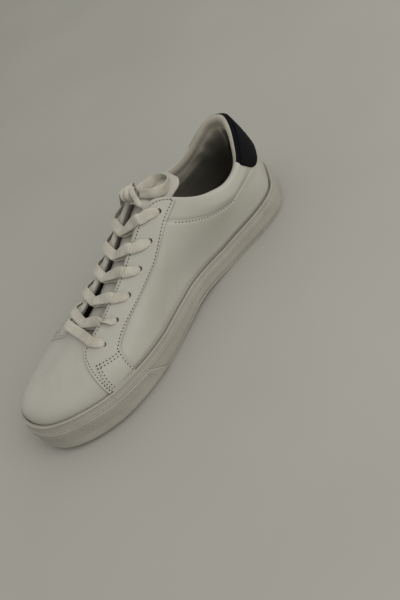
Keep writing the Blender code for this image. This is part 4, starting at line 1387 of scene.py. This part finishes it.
def tongueHeight(fromToe, x):
    table = np.array(tongueRows)
    crown = np.interp(fromToe, table[:, 0], table[:, 1])
    return crown - tonguePiece["bend"] + np.sqrt(tonguePiece["bend"] ** 2 - (x - tonguePiece["x"]) ** 2)


def makeTongue():
    table = np.array(tongueRows)
    count = tonguePiece["stations"]
    stations = np.linspace(table[0, 0], table[-1, 0], count)
    stations = np.append(stations[:-1], table[-1, 0] - np.array([0.0010, 0.0005, 0.0002, 0.0]))[:, None]
    half, thick = (np.interp(stations, table[:, 0], column) for column in table.T[2:])
    # the top corners are rounded
    top, tipHalf, corner = table[-1, 0], table[-1, 2] - tonguePiece["tip"], tonguePiece["corner"]
    before = np.interp(top - corner, table[:, 0], table[:, 2])
    near = np.clip((stations - top + corner) / corner, 0, 1)
    rounded = before - (before - tipHalf) * (1 - np.sqrt(1 - 0.98 * near**2))
    half = np.where(near > 0, rounded, half)
    share = np.sin(np.linspace(-1, 1, tonguePiece["across"]) * math.pi / 2)
    across = half * share
    x = across + tonguePiece["x"]
    lean = across / tonguePiece["bend"]
    normal = np.stack([lean, 0 * lean, np.sqrt(1 - lean**2)], -1)
    above = np.stack([x, stations - length / 2 + 0 * across, tongueHeight(stations, x)], -1)
    depth = thick * (1 - tonguePiece["edgeThinning"] * share**4)
    side = 1 - np.sqrt(np.clip(1 - np.abs(share) ** 18, 0, 1))
    fromTop = np.clip((top - stations) / tonguePiece["topRoll"], 0, 1)
    end = 1 - np.sqrt(np.clip(1 - (1 - fromTop) ** 2, 0, 1))
    rounding = depth * tonguePiece["edgeRound"] * np.maximum(side, end)
    folds = 0.0
    for place, deep in tongueFolds:
        away = (stations + 0.15 * across - place) / tonguePiece["foldWidth"]
        folds = folds + deep * bell(away) * (1 - share**2)
    above = above - normal * (rounding + folds)[..., None]
    below = above - normal * np.clip(depth - 2 * rounding, tonguePiece["thinnest"], 1)[..., None]
    rings = np.concatenate([below, above[:, ::-1]], 1)
    slots = [1] * (tonguePiece["across"] - 1) + [0] * (tonguePiece["across"] + 1)
    piece = loft("tongue_pad", rings, [shadedTongueLeather, lining], ringSlots=slots)
    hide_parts("tongue")


makeTongue()
print("tongue made")

# laces: flat woven tape through the eyelets
lace = {
    "width": 0.0080,
    "thickness": 0.0012,
    "steps": 9,
    "section": 26,
    "crown": 0.00030,
    "lift": 0.0024,
    "crossTilt": {1: 0.40, -1: -0.10},
    "rimClearance": 0.0014,
    "rimTurn": {1: 0.05, -1: 0.6},
    "arch": {1: 0.0010, -1: 0.0032},
    "startBeyond": 0.0010,
    "startLift": 0.0012,
    "underLift": 0.0014,
    "crossLift": {1: 0.0046, -1: 0.0029},
    "twisted": (1, 1),
    "turnAfter": 2,
    "turnStops": 4,
    "turnLift": 0.0008,
    "turnNarrows": 0.25,
    "aimShare": 0.35,
    "shares": (0.42, 0.78),
    "leastAway": 0.0066,
    "barAhead": 0.0048,
    "barLift": 0.0073,
    "gapReach": {1: 0.0040, -1: 0.0034},
}
# out of an eyelet: height, way ahead, how much the facing turns up and ahead, width
eyeletClimb = (
    (-0.0045, -0.0004, 0.25, 1.0, 0.0030),
    (-0.0012, -0.0001, 0.25, 1.0, 0.0036),
    (0.0012, 0.0006, 1.0, -0.8, 0.0046),
    (0.0022, 0.0022, 1.0, -0.2, 0.0062),
    (0.0025, 0.0046, 1.0, 0.0, 0.0075),
)
# how far nearer the toe each pair meets the opening's outer and inner edge and its crossing, crossing x
crossings = (
    (0.0090, 0.0140, 0.0168, -0.0020),
    (0.0100, 0.0160, 0.0183, -0.0034),
    (0.0105, 0.0170, 0.0193, -0.0036),
    (0.0140, 0.0190, 0.0215, -0.0010),
    (0.0145, 0.0210, 0.0240, -0.0020),
)
# the stretch under the knot: from toe, across, lift above the tongue
topBar = (
    (0.1835, -0.0087, 0.0026),
    (0.1833, -0.0046, 0.0046),
    (0.1836, 0.0004, 0.0047),
    (0.1841, 0.0070, 0.0038),
    (0.1842, 0.0138, 0.0030),
)


def tapeRings(rows, thickness, crown):
    # rows of centre, facing and width; the section is a flattened oval, a little crowned
    centre, wide = rows[:, :3], rows[:, 6:7]
    run = unit(np.gradient(centre, axis=0))
    across = unit(np.cross(rows[:, 3:6], run))
    facing = np.cross(run, across)
    angles = np.linspace(0, 2 * math.pi, lace["section"], endpoint=False)
    flat, tall = squareOff(np.cos(angles), 0.55), squareOff(np.sin(angles), 0.7)
    rise = tall * thickness / 2 + crown * (0.5 - flat**2)
    rings = centre[:, None] + across[:, None] * (flat[None, :, None] * wide[:, None] / 2)
    return rings + facing[:, None] * rise[None, :, None]


def tape(name, stops, steps=lace["steps"], thickness=lace["thickness"], crown=lace["crown"]):
    # stops are rows of point, facing and width
    rows = smoothRun([[*point, *facing, wide] for point, facing, wide in stops], steps)
    piece = loft(name, tapeRings(rows, thickness, crown), [laceWeave])
    return piece, rows[:, :3]


def laceTurn(normal, run, degrees):
    # facing turned about the lace's run
    a = math.radians(degrees)
    return unit(normal * math.cos(a) + np.cross(unit(run), normal) * math.sin(a))


def overEyelet(row, side, ahead):
    # from inside the eyelet, over its edge and along the eyestay to the opening's edge
    bearing, rise = eyeletSeat(row, side)
    station = eyelets["first"] + row * eyelets["pitch"]
    lift, arch = lace["lift"], lace["arch"][side]
    normal = skinNormal(bearing, rise)
    seat = skin(bearing, rise)
    aim = rise + (1 - rise) * lace["aimShare"]
    run = unit(skin(sideBearing(station - ahead * lace["aimShare"], aim, side), aim) - seat)
    stops = [
        (seat + normal * height + run * onward, unit(normal * up + run * forward), wide)
        for height, onward, up, forward, wide in eyeletClimb
    ]
    for share in lace["shares"]:
        height = rise + (1 - rise) * share
        here = sideBearing(station - ahead * share, height, side)
        point = skin(here, height, lift + arch * share)
        if np.linalg.norm(point - seat) > lace["leastAway"]:
            stops.append((point, skinNormal(here, height), lace["width"]))
    edge = sideBearing(station - ahead, 1.0, side)
    upward = unit(bareSkin(edge, 1.0) - bareSkin(edge, 0.97))
    point = skin(edge, 1.0, lift + arch / 2) + upward * lace["rimClearance"]
    stops.append((point, unit(skinNormal(edge, 1.0) + lace["rimTurn"][side] * upward), lace["width"]))
    return stops


def onTongue(fromToe, x, lift, tilt=0.0):
    lean = (x - tonguePiece["x"]) / tonguePiece["bend"]
    point = np.array([x, fromToe - length / 2, tongueHeight(fromToe, x) + lift])
    return point, unit(np.array([lean + tilt, 0.0, 1.0])), lace["width"]


def halfTurn(stops):
    # the tape turns over once between the crossing and the eyelet, and rolls narrower there
    runs = np.gradient(np.array([stop[0] for stop in stops]), axis=0)
    turned = []
    for number, ((point, facing, wide), run) in enumerate(zip(stops, runs)):
        turn = 180 * float(smoothStep((number - lace["turnAfter"]) / lace["turnStops"]))
        edgeOn = math.sin(math.radians(turn)) ** 2
        point = point + facing * lace["turnLift"] * edgeOn
        turned.append((point, laceTurn(facing, run, turn), wide * (1 - lace["turnNarrows"] * edgeOn)))
    return turned


def strandStops(row, side):
    outerEdge, innerEdge, ahead, crossX = crossings[row - 1]
    station = eyelets["first"] + row * eyelets["pitch"]
    edge, far = (outerEdge, innerEdge) if side > 0 else (innerEdge, outerEdge)
    # past the crossing each strand lies under its partner, as far as the other edge of the opening
    start = station - far - lace["startBeyond"]
    gapX = bareSkin(sideBearing(start, 1.0, -side), 1.0)[0] + side * lace["gapReach"][side]
    middle = ((start + station - ahead) / 2, (gapX + crossX) / 2)
    stops = [
        onTongue(start, gapX, lace["startLift"]),
        onTongue(*middle, lace["underLift"]),
        onTongue(station - ahead, crossX, lace["crossLift"][side], lace["crossTilt"][side]),
    ]
    stops += overEyelet(row, side, edge)[::-1]
    return halfTurn(stops) if (row, side) == lace["twisted"] else stops


def makeLacing():
    ahead = lace["barAhead"]
    bar = overEyelet(0, 1, ahead) + [onTongue(eyelets["first"] - ahead, tonguePiece["x"], lace["barLift"])]
    piece, _ = tape("lace_bar_tape", bar + overEyelet(0, -1, ahead)[::-1])
    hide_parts("lace_bar_1")
    piece, _ = tape("lace_bar_top_tape", [onTongue(*row) for row in topBar])
    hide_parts("lace_bar_top")
    for row in range(1, len(eyelets["rises"])):
        for side, label in ((1, "outer"), (-1, "inner")):
            piece, _ = tape(f"lace_{label}_{row + 1}", strandStops(row, side))
            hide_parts(f"lace_cross_{row + 1}")


makeLacing()
print("lacing made")

# bow: a knot, two loops of tape and one short end with its aglet
bow = {
    "knotMiddle": (-0.0026, 0.1834, 0.0962),
    "knotEnds": ((-0.0068, 0.1806, 0.0962), (0.0016, 0.1862, 0.0957)),
    "wrapThickness": 0.0017,
    "wrapCrown": 0.0012,
    "wrapSteps": 72,
    "loopSteps": 10,
    "outerTaper": (0.75, 0.92),
    "innerTaper": (0.55, 0.72),
    "outerLength": 0.058,
    "innerLength": 0.122,
    "tailLength": 0.031,
    "tailWidth": 0.0046,
    "tailThickness": 0.0017,
    "tailFacing": (0.15, -0.35, 1.0),
    "agletRadii": (0.00155, 0.00105),
    "agletSides": 20,
}
# the knot's turns: place along its axis, radii across and up, tilt, width, wobble, swing
knotTurns = (
    (0.0, (0.0047, 0.0045), 12, 0.0054, 0.0001, 0),
    (-0.0032, (0.0040, 0.0038), -16, 0.0044, 0.0001, 6),
    (0.0034, (0.0037, 0.0035), 14, 0.0042, 0.0001, -8),
    (0.0, (0.0032, 0.0030), -6, 0.0078, 0.0, 0),
    (0.0, (0.0017, 0.0016), 0, 0.0092, 0.0, 0),
)
# each row is x, from toe, z and the direction across the tape, from its lower to its upper edge
outerLoop = (
    (0.0008, 0.1888, 0.0950, -0.35, 0.30, 0.85),
    (0.0020, 0.1980, 0.0928, -0.35, 0.30, 0.85),
    (0.0030, 0.2050, 0.0912, -0.10, 0.10, 0.95),
    (0.0070, 0.2100, 0.0893, 0.30, 0.00, 0.95),
    (0.0120, 0.2095, 0.0876, 0.35, 0.00, 0.90),
    (0.0152, 0.2040, 0.0872, 0.05, 0.10, 0.95),
    (0.0146, 0.1975, 0.0890, -0.30, 0.20, 0.90),
    (0.0115, 0.1920, 0.0918, -0.40, 0.25, 0.85),
    (0.0050, 0.1872, 0.0946, -0.40, 0.30, 0.85),
)
innerLoop = (
    (-0.0075, 0.1846, 0.0950, 0.15, 0.75, -0.30),
    (-0.0150, 0.1878, 0.0914, 0.15, 0.80, -0.40),
    (-0.0258, 0.1942, 0.0868, 0.20, 0.95, 0.00),
    (-0.0352, 0.1944, 0.0718, 0.10, 1.00, 0.00),
    (-0.0384, 0.1850, 0.0555, 0.30, 0.80, -0.50),
    (-0.0358, 0.1745, 0.0580, 0.40, -0.60, -0.60),
    (-0.0318, 0.1785, 0.0700, 0.20, -0.90, -0.10),
    (-0.0250, 0.1840, 0.0848, 0.10, -0.95, 0.10),
    (-0.0172, 0.1840, 0.0938, 0.10, -0.95, 0.15),
    (-0.0108, 0.1808, 0.0964, 0.10, -0.95, 0.20),
)
# x, from toe, z and share of the end's width
outerTail = (
    (-0.0074, 0.1808, 0.0950, 0.70),
    (-0.0045, 0.1824, 0.0954, 0.90),
    (-0.0016, 0.1836, 0.0974, 1.00),
    (0.0014, 0.1841, 0.0997, 1.00),
    (0.0045, 0.1838, 0.1005, 1.00),
    (0.0080, 0.1824, 0.0998, 0.95),
    (0.0140, 0.1799, 0.0988, 0.88),
    (0.0199, 0.1779, 0.0974, 0.80),
)
# the aglet: place beyond the end's last point, share of its radii
agletRings = (
    (-0.0045, 0.80),
    (-0.0042, 1.05),
    (-0.0010, 1.00),
    (0.0006, 0.92),
    (0.0012, 0.70),
    (0.0015, 0.30),
)


def inShoe(x, fromToe, z):
    return np.array([x, fromToe - length / 2, z])


def loopTape(name, route, taper):
    points = np.array([inShoe(*row[:3]) for row in route])
    runs = np.gradient(points, axis=0)
    shares = [*taper, *[1.0] * (len(route) - 2 * len(taper)), *taper[::-1]]
    stops = []
    for point, run, row, share in zip(points, runs, route, shares):
        facing = unit(np.cross(run, np.array(row[3:], float)))
        stops.append((point, facing, lace["width"] * share))
    return tape(name, stops, steps=bow["loopSteps"], crown=0.0)


def knotWrap(name, middle, axis, radii, tilt, width, wobble, swing):
    # a closed turn of folded tape round the knot's axis
    level = unit(np.cross([0.0, 0.0, 1.0], axis))
    steep = np.cross(axis, level)
    a, b = math.radians(tilt), math.radians(swing)
    tilted = unit(axis * math.cos(a) * math.cos(b) + level * math.sin(a) + steep * math.sin(b))
    level = unit(np.cross(steep, tilted))
    steep = np.cross(tilted, level)
    turns = np.linspace(0, 2 * math.pi, lace["section"], endpoint=False)
    flat = squareOff(np.cos(turns), 0.7)
    tall = np.sin(turns) * bow["wrapThickness"] / 2 + bow["wrapCrown"] * (0.5 - flat**2)
    rings = []
    for angle in np.linspace(0, 2 * math.pi, bow["wrapSteps"], endpoint=False):
        out = level * math.cos(angle) * radii[0] + steep * math.sin(angle) * radii[1]
        ahead = unit(steep * math.cos(angle) * radii[1] - level * math.sin(angle) * radii[0])
        facing = unit(np.cross(ahead, tilted))
        facing = facing * math.copysign(1, float(np.dot(facing, out)))
        sway = tilted * math.sin(2 * angle + tilt) + facing * math.sin(3 * angle)
        wide = width * (1 + 0.10 * math.sin(3 * angle + tilt)) / 2
        centre = middle + out + sway * wobble
        rings.append(centre + tilted * (flat * wide)[:, None] + facing * tall[:, None])
    return loft(name, rings, [laceWeave], closed=True)


def joinPieces(name, pieces):
    # one mesh from several, with the first one's materials
    shape = bmesh.new()
    for piece in pieces:
        shape.from_mesh(piece.data)
    mesh = meshFrom(name, shape)
    for material in pieces[0].data.materials:
        mesh.materials.append(material)
    mesh.shade_smooth()
    for piece in pieces:
        bpy.data.objects.remove(piece, do_unlink=True)
    joined = addObject(name, mesh)
    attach(joined, "root")
    return joined


def makeKnot():
    start, end = (inShoe(*row) for row in bow["knotEnds"])
    middle, axis = inShoe(*bow["knotMiddle"]), unit(end - start)
    wraps = [
        knotWrap(f"wrap{number}", middle + axis * place, axis, *turn)
        for number, (place, *turn) in enumerate(knotTurns)
    ]
    knot = joinPieces("lace_knot_wraps", wraps)
    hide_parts("lace_knot")
    return knot


def makeTail():
    points = np.array([inShoe(*row[:3]) for row in outerTail])
    facing = unit(np.array(bow["tailFacing"]))
    stops = [(point, facing, bow["tailWidth"] * row[3]) for point, row in zip(points, outerTail)]
    tail, path = tape("lace_tail_outer_tape", stops, bow["loopSteps"], bow["tailThickness"])
    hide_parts("lace_tail_outer")
    ahead = unit(points[-1] - points[-2])
    level = unit(np.cross(bow["tailFacing"], ahead))
    up = np.cross(ahead, level)
    wide, high = bow["agletRadii"]
    turns = np.linspace(0, 2 * math.pi, bow["agletSides"], endpoint=False)[:, None]
    oval = level * np.cos(turns) * wide + up * np.sin(turns) * high
    rings = [points[-1] + ahead * place + oval * swell for place, swell in agletRings]
    aglet = loft("lace_aglet", rings, [agletFilm])
    return tail, path, aglet


def makeBow():
    knot = makeKnot()
    outer, outerPath = loopTape("lace_loop_outer_tape", outerLoop, bow["outerTaper"])
    inner, innerPath = loopTape("lace_loop_inner_tape", innerLoop, bow["innerTaper"])
    tail, tailPath, aglet = makeTail()
    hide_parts("lace_loop_outer")
    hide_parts("lace_loop_inner")
    for piece, path, wide, cordLength, farEnd, carried in (
        (outer, outerPath, lace["width"], bow["outerLength"], "knot", [knot]),
        (inner, innerPath, lace["width"], bow["innerLength"], "object", []),
        (tail, tailPath, bow["tailWidth"], bow["tailLength"], "fitting", [aglet]),
    ):
        print(piece.name, "runs", round(float(distances(path, 0)[-1]), 4))


makeBow()
print("bow made")

# floor and studio light
studio = {
    "floor": (0.400, 0.394, 0.352),
    "world": (1.0, 0.99, 0.955),
    "worldStrength": 0.60,
    "keyPower": 9.0,
    "keyHeight": 40.0,
    "keyBearing": 62.0,
    "keySize": 1.2,
    "keyAway": 1.4,
    "keyColour": (1.0, 0.985, 0.96),
    "keyAim": (0.0, 0.0, 0.05),
    "floorReach": 4.0,
}


def makeFloor():
    shape = bmesh.new()
    bmesh.ops.create_grid(shape, x_segments=2, y_segments=2, size=studio["floorReach"])
    floor = addObject("studioFloor", meshFrom("studioFloor", shape))
    material, tree, shader = newMaterial("palePaper", {"Roughness": 0.9, "Specular IOR Level": 0.2})
    place = objectPlace(tree)
    shade = reach(tree, noise(tree, place, 6, 3), 0.3, 0.7)
    dark = tuple(part * 0.95 for part in studio["floor"])
    tree.links.new(blendColour(tree, shade, studio["floor"], dark), shader.inputs["Base Color"])
    floor.data.materials.append(material)


def makeLight():
    world = bpy.data.worlds.new("softRoom")
    world.use_nodes = True
    background = world.node_tree.nodes["Background"]
    background.inputs["Color"].default_value = (*studio["world"], 1)
    background.inputs["Strength"].default_value = studio["worldStrength"]
    bpy.context.scene.world = world
    data = bpy.data.lights.new("keyLight", "AREA")
    data.shape = "DISK"
    data.size = studio["keySize"]
    data.energy = studio["keyPower"]
    data.color = studio["keyColour"]
    key = addObject("keyLight", data)
    # from the outer side, a little behind the shoe
    height, turn = math.radians(studio["keyHeight"]), math.radians(studio["keyBearing"])
    toward = Vector((math.sin(turn) * math.cos(height), math.cos(turn) * math.cos(height), math.sin(height)))
    key.location = Vector(studio["keyAim"]) + toward * studio["keyAway"]
    key.rotation_mode = "QUATERNION"
    key.rotation_quaternion = (-toward).to_track_quat("-Z", "Y")


makeFloor()
makeLight()
bpy.context.scene.view_settings.view_transform = "Standard"
print("studio made")
